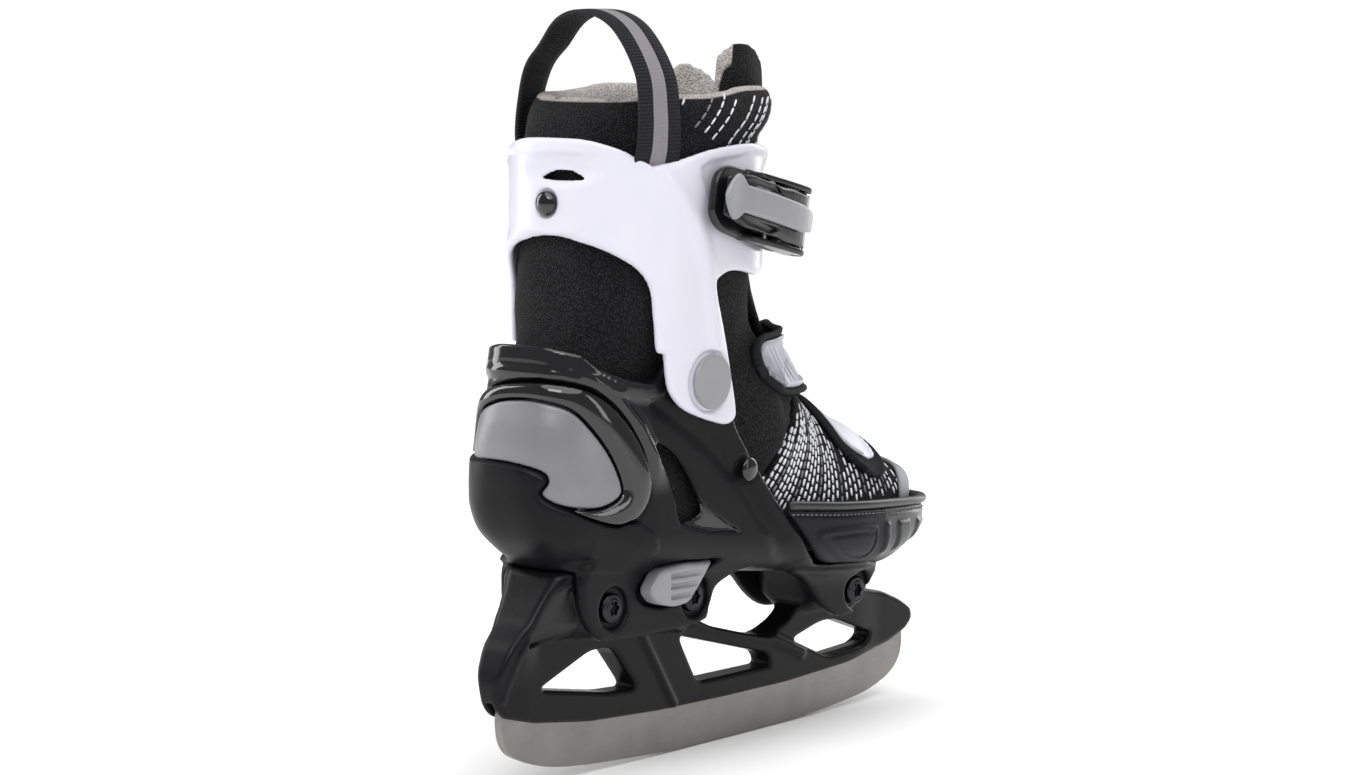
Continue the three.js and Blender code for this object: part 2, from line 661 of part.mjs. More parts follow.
function pullLoop() {
  const path = new THREE.CatmullRomCurve3([
    [-77, -36, 237.4], [-78, -37, 249], [-78, -34.5, 264], [-76, -21, 280], [-73, -3, 285.4], [-70, 15, 281],
    [-67, 31, 266], [-65, 38.5, 250], [-65, 40.5, 237.4]
  ].map(([x, y, z]) => new THREE.Vector3(x, y, z)))
  const rings = []
  const steps = 26
  for (let i = 0; i <= steps; i++) {
    const at = path.getPointAt(i / steps)
    const along = path.getTangentAt(i / steps)
    const turn = -LOOP_TURN * (1 - (2 * i) / steps) * DEG
    const level = new THREE.Vector3(Math.cos(turn), Math.sin(turn), 0)
    const across = level.addScaledVector(along, -along.dot(level)).normalize()
    const out = new THREE.Vector3().crossVectors(across, along)
    const corners = [[-LOOP_HALF, -1], [LOOP_HALF, -1], [LOOP_HALF, 1], [-LOOP_HALF, 1]]
    rings.push(corners.map(([w, t]) => at.clone().addScaledVector(across, w).addScaledVector(out, t)))
  }
  return loft(rings)
}

function pivotRivet() {
  return barY(PIVOT_RIVET, PIVOT.x, PIVOT.z, -39.1, -31)
}

const pivotCap = () => barY(10.4, PIVOT.x, PIVOT.z, -41, -39.5, 24)

// ---- ratchet buckle on the cuff's outer wing; local x runs forward, y away from the leg ----
function onCuff(solid) {
  const turn = new THREE.Matrix4().makeRotationZ(BUCKLE.yaw * DEG)
  turn.multiply(new THREE.Matrix4().makeRotationY(BUCKLE.pitch * DEG))
  const place = new THREE.Matrix4().makeTranslation(BUCKLE.x, BUCKLE.y, BUCKLE.z).multiply(turn)
  return solid.transform(place.elements)
}

// An outline seen from above the buckle, [x, y] with y outward as -Y, extruded from z0 to z1.
function plateZ(outline, z0, z1) {
  const shape = new THREE.Shape(outline.map(([x, y]) => new THREE.Vector2(x, y)))
  const geometry = new THREE.ExtrudeGeometry(shape, { depth: z1 - z0, bevelEnabled: false })
  geometry.translate(0, 0, z0)
  return toSolid(geometry)
}

const BUCKLE_PIN = { x: 54, y: -6, r: 1.6 }
const PAWL_PIN = { x: 31, y: -5.05, r: 0.8 }
const PIN_GAP = 0.3
const BUCKLE_RIVET_X = 12
const pinHole = ({ x, y, r }) => barZ(r + PIN_GAP, x, y, -20, 20)
const barZ = (radius, x, y, z0, z1, sides = 12) => {
  const geometry = new THREE.CylinderGeometry(radius, radius, z1 - z0, sides)
  geometry.rotateX(Math.PI / 2)
  geometry.translate(x, y, (z0 + z1) / 2)
  return toSolid(geometry)
}

function buckleBase() {
  const outline = [[0, 0], [0, 3.2], [12, 2.4], [24, 1.6], [48, 1.6], [51, 0.6], [51, -0.4], [4, -0.4]]
  const cheek = [[26, 0], [56, 0], [57, -6], [55, -9], [50, -9], [42, -7.4], [28, -5]]
  const floor = plateZ(outline, -13, 13)
  const cheeks = addAll([plateZ(cheek, 10.8, 13), plateZ(cheek, -13, -10.8)])
  const rivetHole = loft([6, -6].map((y) => circleAround(BUCKLE_RIVET_X, y, 0, 2.2)))
  const holes = [pinHole(BUCKLE_PIN), pinHole(PAWL_PIN), rivetHole]
  return onCuff(cutAll(floor.add(cheeks), holes))
}

// A circle in the plane at y, for bars that run along Y in the buckle's own frame.
function circleAround(x, y, z, radius, sides = 14) {
  const ring = []
  for (let i = 0; i < sides; i++) {
    const angle = (2 * Math.PI * i) / sides
    ring.push(new THREE.Vector3(x + radius * Math.cos(angle), y, z + radius * Math.sin(angle)))
  }
  return ring
}

function buckleRivet() {
  const head = loft([-2.6, -0.9].map((y) => circleAround(BUCKLE_RIVET_X, y, 0, 3.6)))
  return onCuff(head.add(loft([-1.2, 4.4].map((y) => circleAround(BUCKLE_RIVET_X, y, 0, 1.8)))))
}

const cuffRivetHole = () => onCuff(loft([8, -3].map((y) => circleAround(BUCKLE_RIVET_X, y, 0, 2.2))))
const bucklePin = () => onCuff(barZ(BUCKLE_PIN.r, BUCKLE_PIN.x, BUCKLE_PIN.y, -12.8, 12.8))

function leverBody() {
  const outline = [
    [1, -4.6], [3, -6.6], [22, -8.6], [42, -9.2], [53, -8.5], [56.2, -7.2], [56.5, -5.6], [55.4, -4.1],
    [53.4, -3.8], [51.6, -4.6], [50, -6.6], [40, -7], [22, -6.9]
  ]
  return onCuff(plateZ(outline, -9, 9).subtract(pinHole(BUCKLE_PIN)))
}

function leverCover() {
  const bar = plateZ([
    [-1, -7.6], [22, -9.1], [42, -9.7], [53, -9], [55.5, -8], [54.6, -10.2], [42, -11.4], [22, -10.8],
    [-1, -9.4]
  ], -5.5, 5.5)
  const head = plateZ([[-1, -7.6], [6, -8.06], [6, -9.8], [-1, -9.4]], -8.5, 8.5)
  return onCuff(bar.add(head))
}

function bucklePawl() {
  const outline = [[22, -3.7], [34, -3.6], [37, -4.4], [36, -6.3], [30, -6.5], [22, -5.6]]
  return onCuff(plateZ(outline, -9.6, 9.6).subtract(pinHole(PAWL_PIN)))
}

// A ring of spring wire beside the pawl, round its pin.
const pawlSpring = () => onCuff(barZ(1.7, PAWL_PIN.x, PAWL_PIN.y, 9.9, 10.5).subtract(pinHole(PAWL_PIN)))
const pawlPin = () => onCuff(barZ(PAWL_PIN.r, PAWL_PIN.x, PAWL_PIN.y, -12.8, 12.8))

// The toothed strap: from its anchor on the inner wing, round the front, into the buckle.
function ratchetStrap() {
  const path = new THREE.CatmullRomCurve3([
    [-36, 46.4, 214.5], [-24, 44.5, 213.5], [-11, 39.5, 211.5], [1, 30.5, 209.5], [8.5, 17, 207],
    [11, 0, 204.5], [9.5, -20, 203.3], [3, -37.4, 204], [-7.8, -42.9, 206.4],
    [-21, -44.7, 209.8], [-34.7, -46.3, 213.2]
  ].map(([x, y, z]) => new THREE.Vector3(x, y, z)))
  const rings = []
  const steps = 28
  for (let i = 0; i <= steps; i++) {
    const at = path.getPointAt(i / steps)
    const along = path.getTangentAt(i / steps)
    const up = new THREE.Vector3(0, 0, 1).addScaledVector(along, -along.z).normalize()
    const out = new THREE.Vector3().crossVectors(up, along)
    const corners = [[-8, -1.1], [8, -1.1], [8, 1.1], [-8, 1.1]]
    rings.push(corners.map(([h, t]) => at.clone().addScaledVector(up, h).addScaledVector(out, t)))
  }
  return loft(rings).subtract(anchorHole())
}

const ANCHOR = { x: -30, z: 213.8, r: 1.9 } // the strap's rivet on the inner wing
const anchorHole = () => barY(ANCHOR.r + GAP, ANCHOR.x, ANCHOR.z, 30, 60)
const strapAnchor = () => {
  const head = barY(4, ANCHOR.x, ANCHOR.z, 47.2, 48.4)
  return head.add(barY(ANCHOR.r, ANCHOR.x, ANCHOR.z, 38.8, 47.4))
}

// ---- assembly ----
const group = new THREE.Group()
function place(name, solid, look) {
  const material = new THREE.MeshStandardMaterial({ ...look })
  const mesh = new THREE.Mesh(toGeometry(solid), material)
  mesh.name = name
  group.add(mesh)
}

place('blade_runner', bladeRunner(), LOOK.steel)
place('blade_holder', bladeHolder(), LOOK.blackPlastic)
for (const bolt of BOLTS) {
  place(`holder_bolt_${bolt.name}`, holderBolt(bolt), LOOK.fastener)
  place(`barrel_nut_${bolt.name}`, barrelNut(bolt), LOOK.fastener)
}
place('shell', shellBody(), LOOK.blackPlastic)
place('heel_insert', heelInsert(), LOOK.greySatin)
place('heel_gloss_frame', heelGlossFrame(), LOOK.glossBlack)
place('footbed', footbed(), LOOK.greyFabric)
place('foot_upper', footUpper(), LOOK.blackFabric)
place('tongue', tonguePad(), LOOK.blackFabric)
for (const [side, build] of [['lateral', (s) => s], ['medial', mirrorY]]) {
  place(`wing_rivet_${side}`, build(wingRivet()), LOOK.fastener)
  place(`pivot_rivet_${side}`, build(pivotRivet()), LOOK.fastener)
  place(`pivot_cap_${side}`, build(pivotCap()), LOOK.greySatin)
}
place('button_spring', buttonSpring(), LOOK.chrome)
place('size_button', sizeButton(), LOOK.greySatin)

place('toe_cap', toeCap(), LOOK.toeRubber)
place('toe_rim', toeRim(), LOOK.glossBlack)
place('slide_plate', slidePlate(), LOOK.blackPlastic)
place('forefoot_upper', forefootUpper(), LOOK.blackFabric)
place('toe_patch', toePatch(), LOOK.greyFabric)

place('instep_strap', strapBand(STRAPS.instep), LOOK.strapFabric)
place('instep_strap_tip', strapTip(STRAPS.instep), LOOK.greySatin)
place('toe_strap', strapBand(STRAPS.toe), LOOK.strapFabric)
place('toe_strap_tip', strapTip(STRAPS.toe), LOOK.greySatin)

place('cuff', cuffBody(), LOOK.whitePlastic)
place('ankle_collar', ankleCollar(), LOOK.blackFabric)
place('tongue_top', tongueTop(), LOOK.blackFabric)
place('rear_screw', rearScrew(), LOOK.fastener)
place('pull_loop', pullLoop(), LOOK.strapFabric)
place('buckle_base', buckleBase(), LOOK.blackPlastic)
place('buckle_rivet', buckleRivet(), LOOK.fastener)
place('buckle_pin', bucklePin(), LOOK.chrome)
place('pawl_pin', pawlPin(), LOOK.chrome)
place('pawl_spring', pawlSpring(), LOOK.chrome)
place('ratchet_strap', ratchetStrap(), LOOK.blackPlastic)
place('strap_anchor', strapAnchor(), LOOK.fastener)
place('buckle_lever', leverBody(), LOOK.blackPlastic)
place('lever_cover', leverCover(), LOOK.greySatin)
place('buckle_pawl', bucklePawl(), LOOK.chrome)

export default group
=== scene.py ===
import math

import bpy
import numpy as np
from mathutils import Matrix, Vector
from mathutils.bvhtree import BVHTree


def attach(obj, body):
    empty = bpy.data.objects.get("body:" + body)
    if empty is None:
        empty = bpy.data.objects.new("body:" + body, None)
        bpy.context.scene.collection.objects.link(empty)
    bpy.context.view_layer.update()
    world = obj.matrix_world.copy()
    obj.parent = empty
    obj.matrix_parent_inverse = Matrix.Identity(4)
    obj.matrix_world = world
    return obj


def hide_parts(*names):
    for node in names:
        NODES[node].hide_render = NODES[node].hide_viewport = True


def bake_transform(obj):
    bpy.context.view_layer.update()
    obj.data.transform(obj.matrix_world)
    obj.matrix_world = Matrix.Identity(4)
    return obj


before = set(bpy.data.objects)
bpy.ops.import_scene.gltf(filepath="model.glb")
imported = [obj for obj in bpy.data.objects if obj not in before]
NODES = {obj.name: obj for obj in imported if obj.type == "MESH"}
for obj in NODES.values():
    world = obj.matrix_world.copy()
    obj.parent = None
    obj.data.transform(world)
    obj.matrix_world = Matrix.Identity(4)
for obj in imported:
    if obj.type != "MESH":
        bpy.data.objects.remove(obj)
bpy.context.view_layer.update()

# Lengths here are in millimetres, as in the part's source; meshes are scaled to metres when made.
MM = 0.001
FINE = 1.0

# ---- driving dimensions, the same as in the part's source ----
GAP = 0.4
BLADE_THICKNESS = 3.5
BEAM_HALF = 5.5
PEDESTAL_HALF = 15.8
LUG_INSIDE = 16.4
LUG_OUTSIDE = 21
SHELL_WALL = 3
FLOOR = 5
CUFF_WALL = 3
PIVOT = (-51, 149)
BOLTS = {"rear": (-85, 66), "middle": (-38, 64), "front": (64.6, 53)}
BOLT_HEAD = 5.7
SPLIT_X = -24  # where the forefoot parts from the rear boot, at z = 95
SPLIT_LEAN = 1.32
BUCKLE = {"place": (-60, -47.4, 219.5), "yaw": 7, "pitch": 14}
BUCKLE_PIN = (54, -6, 1.6)  # in the buckle's own frame: forward, outward, radius
REAR_SCREW = (-97.6, 1, 215.5)
BOLT_SEAT = 18.6  # how far the bolt heads' seats are from the middle


# ---- fields: a solid is a signed distance on a grid of points, negative inside ----
def ease(value):
    t = np.clip(value, 0, 1)
    return t * t * (3 - 2 * t)


def smooth_max(a, b, blend):
    h = np.maximum(blend - np.abs(a - b), 0) / blend
    return np.maximum(a, b) + h * h * blend / 4


def smooth_min(a, b, blend):
    return -smooth_max(-a, -b, blend)


class Grid:
    """Points of a regular grid between two corners."""

    def __init__(self, low, high, step):
        self.step = step * FINE
        self.low = np.array(low, float)
        axes = [np.arange(a, b + self.step, self.step, dtype=np.float32) for a, b in zip(low, high)]
        self.x, self.y, self.z = np.meshgrid(*axes, indexing="ij", sparse=True)
        self.shape = tuple(len(a) for a in axes)

    def full(self, value):
        return np.broadcast_to(value, self.shape).astype(np.float32)

    def distance(self, value, least_slope=0.008):
        """A field whose zero is the surface, scaled to be a distance near it."""
        slopes = np.gradient(self.full(value), self.step)
        length = np.sqrt(sum(s * s for s in slopes))
        return value / np.maximum(length, least_slope)


def polyline_distance(points, px, pz, closed=False):
    """Distance to a line through the points; negative inside where it is closed."""
    points = np.array(points, float)
    nearest = None
    inside = False
    ends = np.roll(points, -1, 0) if closed else points[1:]
    for (ax, az), (bx, bz) in zip(points, ends):
        ex, ez = bx - ax, bz - az
        wx, wz = px - ax, pz - az
        t = np.clip((wx * ex + wz * ez) / max(ex * ex + ez * ez, 1e-9), 0, 1)
        square = (wx - t * ex) ** 2 + (wz - t * ez) ** 2
        nearest = square if nearest is None else np.minimum(nearest, square)
        if closed and abs(ez) > 1e-9:
            crosses = ((az > pz) != (bz > pz)) & (px < ex * (pz - az) / ez + ax)
            inside = inside ^ crosses
    nearest = np.sqrt(nearest)
    return np.where(inside, -nearest, nearest) if closed else nearest


def outline_distance(points, px, pz):
    return polyline_distance(points, px, pz, closed=True)


def smooth_line(points, steps=5, closed=True):
    """A Catmull-Rom curve through the points."""
    points = [np.array(p, float) for p in points]
    count = len(points)
    made = []
    for i in range(count if closed else count - 1):
        if closed:
            p0, p1, p2, p3 = (points[(i + k) % count] for k in (-1, 0, 1, 2))
        else:
            p0, p1 = points[max(i - 1, 0)], points[i]
            p2, p3 = points[i + 1], points[min(i + 2, count - 1)]
        for t in np.arange(steps) / steps:
            made.append(0.5 * (2 * p1 + (p2 - p0) * t + (2 * p0 - 5 * p1 + 4 * p2 - p3) * t**2
                               + (3 * p1 - p0 - 3 * p2 + p3) * t**3))
    if not closed:
        made.append(points[-1])
    return np.array(made)


def rounded(points, radius, steps=5):
    """A closed outline with its corners rounded."""
    points = [np.array(p, float) for p in points]
    made = []
    for i, corner in enumerate(points):
        before, after = points[i - 1], points[(i + 1) % len(points)]
        to_before = before - corner
        to_after = after - corner
        cut = min(radius, np.linalg.norm(to_before) / 2.1, np.linalg.norm(to_after) / 2.1)
        enter = corner + to_before / np.linalg.norm(to_before) * cut
        leave = corner + to_after / np.linalg.norm(to_after) * cut
        for t in np.linspace(0, 1, steps):
            made.append((1 - t) ** 2 * enter + 2 * t * (1 - t) * corner + t * t * leave)
    return np.array(made)


def unit(vectors):
    """The vectors, one in each row, at length 1."""
    return vectors / np.linalg.norm(vectors, axis=1)[:, None]


def run_of(path):
    """The distance along a path to each of its points."""
    return np.concatenate([[0], np.cumsum(np.linalg.norm(np.diff(path, axis=0), axis=1))])


def point_at(distance, run, path):
    """The path's point at a distance along it, or its points at several."""
    return np.stack([np.interp(distance, run, path[:, k]) for k in range(3)], -1)


def from_point(a, b, centre):
    """Distance from a centre in a plane of two coordinates."""
    return np.sqrt((a - centre[0]) ** 2 + (b - centre[1]) ** 2)


def bump(distance, half, height=1.0):
    """A smooth rise, height tall on the line and nothing half away from it."""
    return height * ease(1 - np.abs(distance) / half)


def surface(grid, field):
    """Vertices and quads of the field's zero surface, by surface nets."""
    field = grid.full(field)
    inside = field < 0
    cells = tuple(n - 1 for n in grid.shape)

    def corner(values, a, b, c):
        return values[a:a + cells[0], b:b + cells[1], c:c + cells[2]]

    total = sum(corner(inside, a, b, c).astype(np.int8) for a in (0, 1) for b in (0, 1) for c in (0, 1))
    active = (total > 0) & (total < 8)
    index = np.full(cells, -1, np.int64)
    index[active] = np.arange(active.sum())
    where = np.argwhere(active)
    place = np.zeros((len(where), 3))
    count = np.zeros(len(where))
    for axis in range(3):
        for b in (0, 1):
            for c in (0, 1):
                start = np.insert([b, c], axis, 0)
                end = np.insert([b, c], axis, 1)
                first = field[tuple((where + start).T)]
                last = field[tuple((where + end).T)]
                cross = (first < 0) != (last < 0)
                t = first[cross] / (first[cross] - last[cross])
                place[cross] += start
                place[cross, axis] += t
                count[cross] += 1
    vertices = grid.low + (where + place / count[:, None]) * grid.step
    quads = []
    for axis in range(3):
        u, v = [k for k in range(3) if k != axis]
        low, high = [slice(1, -1)] * 3, [slice(1, -1)] * 3
        low[axis], high[axis] = slice(0, -1), slice(1, None)
        here, there = inside[tuple(low)], inside[tuple(high)]
        found = np.argwhere(here != there)
        found[:, [u, v]] += 1
        solid_first = inside[tuple(found.T)]
        ring = []
        for du, dv in ((0, 0), (1, 0), (1, 1), (0, 1)):
            cell = found.copy()
            cell[:, u] -= du
            cell[:, v] -= dv
            ring.append(index[tuple(cell.T)])
        ring = np.stack(ring, 1)
        turn = solid_first if axis != 1 else ~solid_first
        ring[turn] = ring[turn][:, ::-1]
        quads.append(ring)
    return vertices, np.concatenate(quads)[:, ::-1]


# ---- meshes and pieces ----
def make_mesh(name, vertices, faces):
    """A mesh in metres from points in millimetres."""
    mesh = bpy.data.meshes.new(name)
    mesh.from_pydata(np.asarray(vertices, float) * MM, [], [list(map(int, f)) for f in faces])
    mesh.update()
    mesh.shade_smooth()
    return mesh


def set_attribute(obj, name, values):
    """A number, or three, for each vertex, which a material can read."""
    values = np.asarray(values, np.float32)
    kind = "FLOAT" if values.ndim == 1 else "FLOAT_VECTOR"
    attribute = obj.data.attributes.new(name, kind, "POINT")
    attribute.data.foreach_set("value" if kind == "FLOAT" else "vector", values.ravel())


def add_piece(name, vertices, faces, material, body=None, replaces=()):
    obj = bpy.data.objects.new(name, make_mesh(name, vertices, faces))
    bpy.context.scene.collection.objects.link(obj)
    obj.data.materials.append(material)
    if body:
        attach(obj, body)
    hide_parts(*replaces)
    return obj


def points_of(obj):
    values = np.zeros(len(obj.data.vertices) * 3, np.float32)
    obj.data.vertices.foreach_get("co", values)
    return values.reshape(-1, 3) / MM


def sweep(path, section, up=(0, 0, 1)):
    """A solid along a path. The section's points are (across, out); across is level with up."""
    path = np.asarray(path, float)
    ahead = unit(np.gradient(path, axis=0))
    up = np.broadcast_to(np.array(up, float), path.shape)
    across = unit(up - ahead * np.sum(up * ahead, 1)[:, None])
    out = np.cross(ahead, across)
    rings = [path + across * a + out * b for a, b in section]
    vertices = np.stack(rings, 1).reshape(-1, 3)
    return vertices, tube_faces(len(path), len(section))


def tube_faces(rings, count):
    """The faces of a tube with closed ends, whose rings of points follow one another."""
    faces = []
    for r in range(rings - 1):
        low, high = r * count, (r + 1) * count
        for i in range(count):
            j = (i + 1) % count
            faces.append((low + i, low + j, high + j, high + i))
    faces.append(tuple(range(count))[::-1])
    faces.append(tuple(range((rings - 1) * count, rings * count)))
    return faces


def circle(radius, count):
    angles = np.arange(count) * 2 * math.pi / count
    return [(radius * math.cos(a), radius * math.sin(a)) for a in angles]


# ---- materials: each reads coordinates in millimetres ----
class Finish:
    """A Principled material built up in layers."""

    def __init__(self, name, colour, roughness, metallic=0.0, **sockets):
        self.material = bpy.data.materials.new(name)
        self.material.use_nodes = True
        self.tree = self.material.node_tree
        self.shader = self.tree.nodes["Principled BSDF"]
        self.shader.inputs["Base Color"].default_value = (*colour, 1)
        self.shader.inputs["Roughness"].default_value = roughness
        self.shader.inputs["Metallic"].default_value = metallic
        for socket, value in sockets.items():
            self.shader.inputs[socket.replace("_", " ")].default_value = value
        place = self.new("ShaderNodeTexCoord")
        self.place = self.math3("MULTIPLY", place.outputs["Object"], (1000, 1000, 1000))

    def new(self, kind, **settings):
        node = self.tree.nodes.new(kind)
        for key, value in settings.items():
            setattr(node, key, value)
        return node

    def link(self, source, target):
        self.tree.links.new(source, target)

    def math3(self, operation, value, other):
        node = self.new("ShaderNodeVectorMath", operation=operation)
        self.link(value, node.inputs[0])
        node.inputs[1].default_value = other
        return node.outputs[0]

    def math(self, operation, value, other=0.0):
        node = self.new("ShaderNodeMath", operation=operation)
        for socket, given in zip(node.inputs, (value, other)):
            if isinstance(given, (int, float)):
                socket.default_value = given
            else:
                self.link(given, socket)
        return node.outputs[0]

    def attribute(self, name, output="Fac"):
        return self.new("ShaderNodeAttribute", attribute_name=name).outputs[output]

    def noise(self, size, detail=2.0, at=None, stretch=(1, 1, 1)):
        node = self.new("ShaderNodeTexNoise")
        node.inputs["Scale"].default_value = 1.0
        node.inputs["Detail"].default_value = detail
        factor = tuple(s / size for s in stretch)
        self.link(self.math3("MULTIPLY", at or self.place, factor), node.inputs["Vector"])
        return node.outputs["Fac"]

    def cells(self, size, at, stretch=(1, 1, 1)):
        node = self.new("ShaderNodeTexVoronoi")
        node.inputs["Scale"].default_value = 1.0
        factor = tuple(s / size for s in stretch)
        self.link(self.math3("MULTIPLY", at, factor), node.inputs["Vector"])
        return node.outputs["Distance"]

    def ribs(self, size, at):
        """Rounded ribs, size apart."""
        node = self.new("ShaderNodeTexWave", wave_type="BANDS", bands_direction="X")
        node.inputs["Scale"].default_value = 1.0
        # a wave's period is 2 pi / 20 of a unit at scale 1
        factor = math.pi / 10 / size
        self.link(self.math3("MULTIPLY", at, (factor,) * 3), node.inputs["Vector"])
        return node.outputs["Fac"]

    def knit(self, size, fuzz_size):
        """Small stitches in slanting rows: their height, their fuzz and how much light they catch."""
        turned = self.new("ShaderNodeVectorRotate")
        turned.inputs["Axis"].default_value = (0.2, 1, 0.1)
        turned.inputs["Angle"].default_value = 0.5
        self.link(self.place, turned.inputs["Vector"])
        stitch = self.cells(size, turned.outputs[0], (1.25, 1, 0.75))
        top = self.span(stitch, 1, 0, 0.15, 0.6)
        fuzz = self.noise(fuzz_size, 3)
        lit = self.math("MULTIPLY", top, self.span(fuzz, 0.2, 1, 0.35, 0.7))
        return top, fuzz, lit

    def span(self, value, low, high, start=0.0, end=1.0):
        node = self.new("ShaderNodeMapRange")
        self.link(value, node.inputs["Value"])
        for socket, number in zip(("From Min", "From Max", "To Min", "To Max"), (start, end, low, high)):
            node.inputs[socket].default_value = number
        return node.outputs["Result"]

    def mix(self, factor, first, second):
        node = self.new("ShaderNodeMix", data_type="RGBA")
        self.link(factor, node.inputs["Factor"])
        for socket, given in zip((node.inputs[6], node.inputs[7]), (first, second)):
            if isinstance(given, tuple):
                socket.default_value = (*given, 1)
            else:
                self.link(given, socket)
        return node.outputs[2]

    def colour(self, value):
        self.link(value, self.shader.inputs["Base Color"])

    def roughness(self, value):
        self.link(value, self.shader.inputs["Roughness"])

    def relief(self, *layers):
        """Bumps from (height, strength, depth in mm), one on top of another."""
        last = None
        for height, strength, depth in layers:
            node = self.new("ShaderNodeBump")
            node.inputs["Strength"].default_value = strength
            node.inputs["Distance"].default_value = depth * MM
            self.link(height, node.inputs["Height"])
            if last:
                self.link(last, node.inputs["Normal"])
            last = node.outputs["Normal"]
        self.link(last, self.shader.inputs["Normal"])


MATTE_SPECULAR = 0.13  # the matte blacks reflect less than the polished ones
GRAIN_DEPTH = 0.12


def moulded(name, colour, roughness, grain, strength, gloss=None, **sockets):
    """Moulded plastic with a fine grain; gloss is the roughness where the gloss attribute is 1."""
    finish = Finish(name, colour, roughness, **sockets)
    cloudy = finish.noise(24, 3)
    fine = finish.noise(grain, 2)
    spread = 0.05 * ease((roughness - 0.2) / 0.12)
    rough = finish.span(cloudy, roughness - spread, roughness + spread, 0.3, 0.7)
    lighter = tuple(min(1, c * (1.2 - 0.28 * c) + 0.001) for c in colour)
    finish.colour(finish.mix(finish.span(cloudy, 0, 1, 0.35, 0.75), colour, lighter))
    if gloss is not None:
        polish = finish.attribute("gloss")
        both = finish.new("ShaderNodeMix", data_type="FLOAT")
        finish.link(polish, both.inputs["Factor"])
        finish.link(rough, both.inputs["A"])
        both.inputs["B"].default_value = gloss
        rough = both.outputs[0]
        finish.link(finish.span(polish, MATTE_SPECULAR, 0.6), finish.shader.inputs["Specular IOR Level"])
        keep = finish.math("SUBTRACT", 1.0, polish)
        fine = finish.math("MULTIPLY", fine, keep)
    finish.roughness(rough)
    finish.relief((fine, strength, GRAIN_DEPTH))
    return finish.material


# the second knit colour is a painted highlight on the stitch tops; the first is the knit's own black
KNIT_DARK, KNIT_HIGHLIGHT = (0.0025, 0.0025, 0.003), (0.034, 0.034, 0.039)
KNIT_STITCH = 0.85
CLOTH_ROUGHNESS = (0.84, 0.9, 0.96)  # least, middle, most


def cloudy_roughness(finish):
    least, _, most = CLOTH_ROUGHNESS
    finish.roughness(finish.span(finish.noise(18), least, most, 0.3, 0.7))


def woven(name, dark, light, size, strength, sheen=0.3):
    """Knitted cloth with a little fuzz."""
    finish = Finish(name, dark, CLOTH_ROUGHNESS[1], Sheen_Weight=sheen, Sheen_Roughness=0.5,
                    Specular_IOR_Level=0.2)
    top, fuzz, lit = finish.knit(size, size * 0.4)
    # the stitch tops get the light colour: a painted highlight on each stitch, over the cloth's dark colour
    finish.colour(finish.mix(lit, dark, light))
    cloudy_roughness(finish)
    finish.relief((top, strength, 0.5), (fuzz, 0.4, 0.2))
    return finish.material


def webbing(name, dark, light, stripe=None, stripe_half=0.0, pitch=1.3):
    """Woven tape: ribs across it, and a flat stripe along its middle."""
    finish = Finish(name, dark, 0.8, Specular_IOR_Level=0.3)
    lay = finish.attribute("lay", "Vector")
    rib = finish.ribs(pitch, lay)
    grain = finish.noise(0.5, 2, at=lay, stretch=(1, 2.5, 1))
    # the rib crests are painted lighter, broken up by the grain: a painted highlight along each rib
    rib_highlight = finish.math("MULTIPLY", rib, finish.span(grain, 0.3, 1, 0.3, 0.7))
    colour = finish.mix(rib_highlight, dark, light)
    height = rib
    if stripe:
        parts = finish.new("ShaderNodeSeparateXYZ")
        finish.link(lay, parts.inputs[0])
        across = finish.math("ABSOLUTE", parts.outputs["Y"])
        on = finish.math("LESS_THAN", across, stripe_half)
        on = finish.math("MULTIPLY", on, finish.math("LESS_THAN", parts.outputs["Z"], 0.0))
        speck = finish.noise(0.35, 2, at=lay)
        pale = finish.mix(finish.span(speck, 0, 1, 0.3, 0.7), stripe, tuple(c * 1.25 for c in stripe))
        colour = finish.mix(on, colour, pale)
        height = finish.math("MULTIPLY", rib, finish.math("SUBTRACT", 1.0, finish.math("MULTIPLY", on, 0.75)))
    finish.colour(colour)
    finish.roughness(finish.span(grain, 0.7, 0.9, 0.3, 0.7))
    finish.relief((height, 0.7, 0.35), (grain, 0.3, 0.1))
    return finish.material


def metal(name, colour, roughness, brush=(1, 1, 1), strength=0.15):
    finish = Finish(name, colour, roughness, 1.0)
    lines = finish.noise(0.6, 3, stretch=brush)
    cloud = finish.noise(15, 3)
    finish.colour(finish.mix(finish.span(cloud, 0, 1, 0.3, 0.7), colour, tuple(c * 0.86 for c in colour)))
    finish.roughness(finish.span(lines, roughness - 0.08, roughness + 0.1, 0.3, 0.7))
    finish.relief((lines, strength, 0.06))
    return finish.material


SHELL_BLACK = moulded("shell_black", (0.005, 0.005, 0.006), 0.36, 0.55, 0.3, gloss=0.1)
HOLDER_BLACK = moulded("holder_black", (0.005, 0.005, 0.006), 0.28, 0.6, 0.18, gloss=0.75)
GLOSS_BLACK = moulded("gloss_black", (0.004, 0.004, 0.0045), 0.08, 2.0, 0.03, Specular_IOR_Level=0.7)
CUFF_WHITE = moulded("cuff_white", (0.66, 0.65, 0.74), 0.25, 0.9, 0.04)
SATIN_GREY = moulded("satin_grey", (0.17, 0.17, 0.18), 0.36, 0.35, 0.25, Specular_IOR_Level=0.6)
LIGHT_GREY = moulded("light_grey", (0.25, 0.25, 0.26), 0.33, 0.8, 0.1)
TOE_RUBBER = moulded("toe_rubber", (0.010, 0.010, 0.012), 0.42, 0.45, 0.25, gloss=0.2)
BUCKLE_BLACK = moulded("buckle_black", (0.006, 0.006, 0.007), 0.25, 0.8, 0.12)
STEEL = metal("blade_steel", (0.25, 0.238, 0.23), 0.34, (0.05, 1, 1.6))
CHROME = metal("chrome", (0.72, 0.72, 0.74), 0.14, strength=0.03)
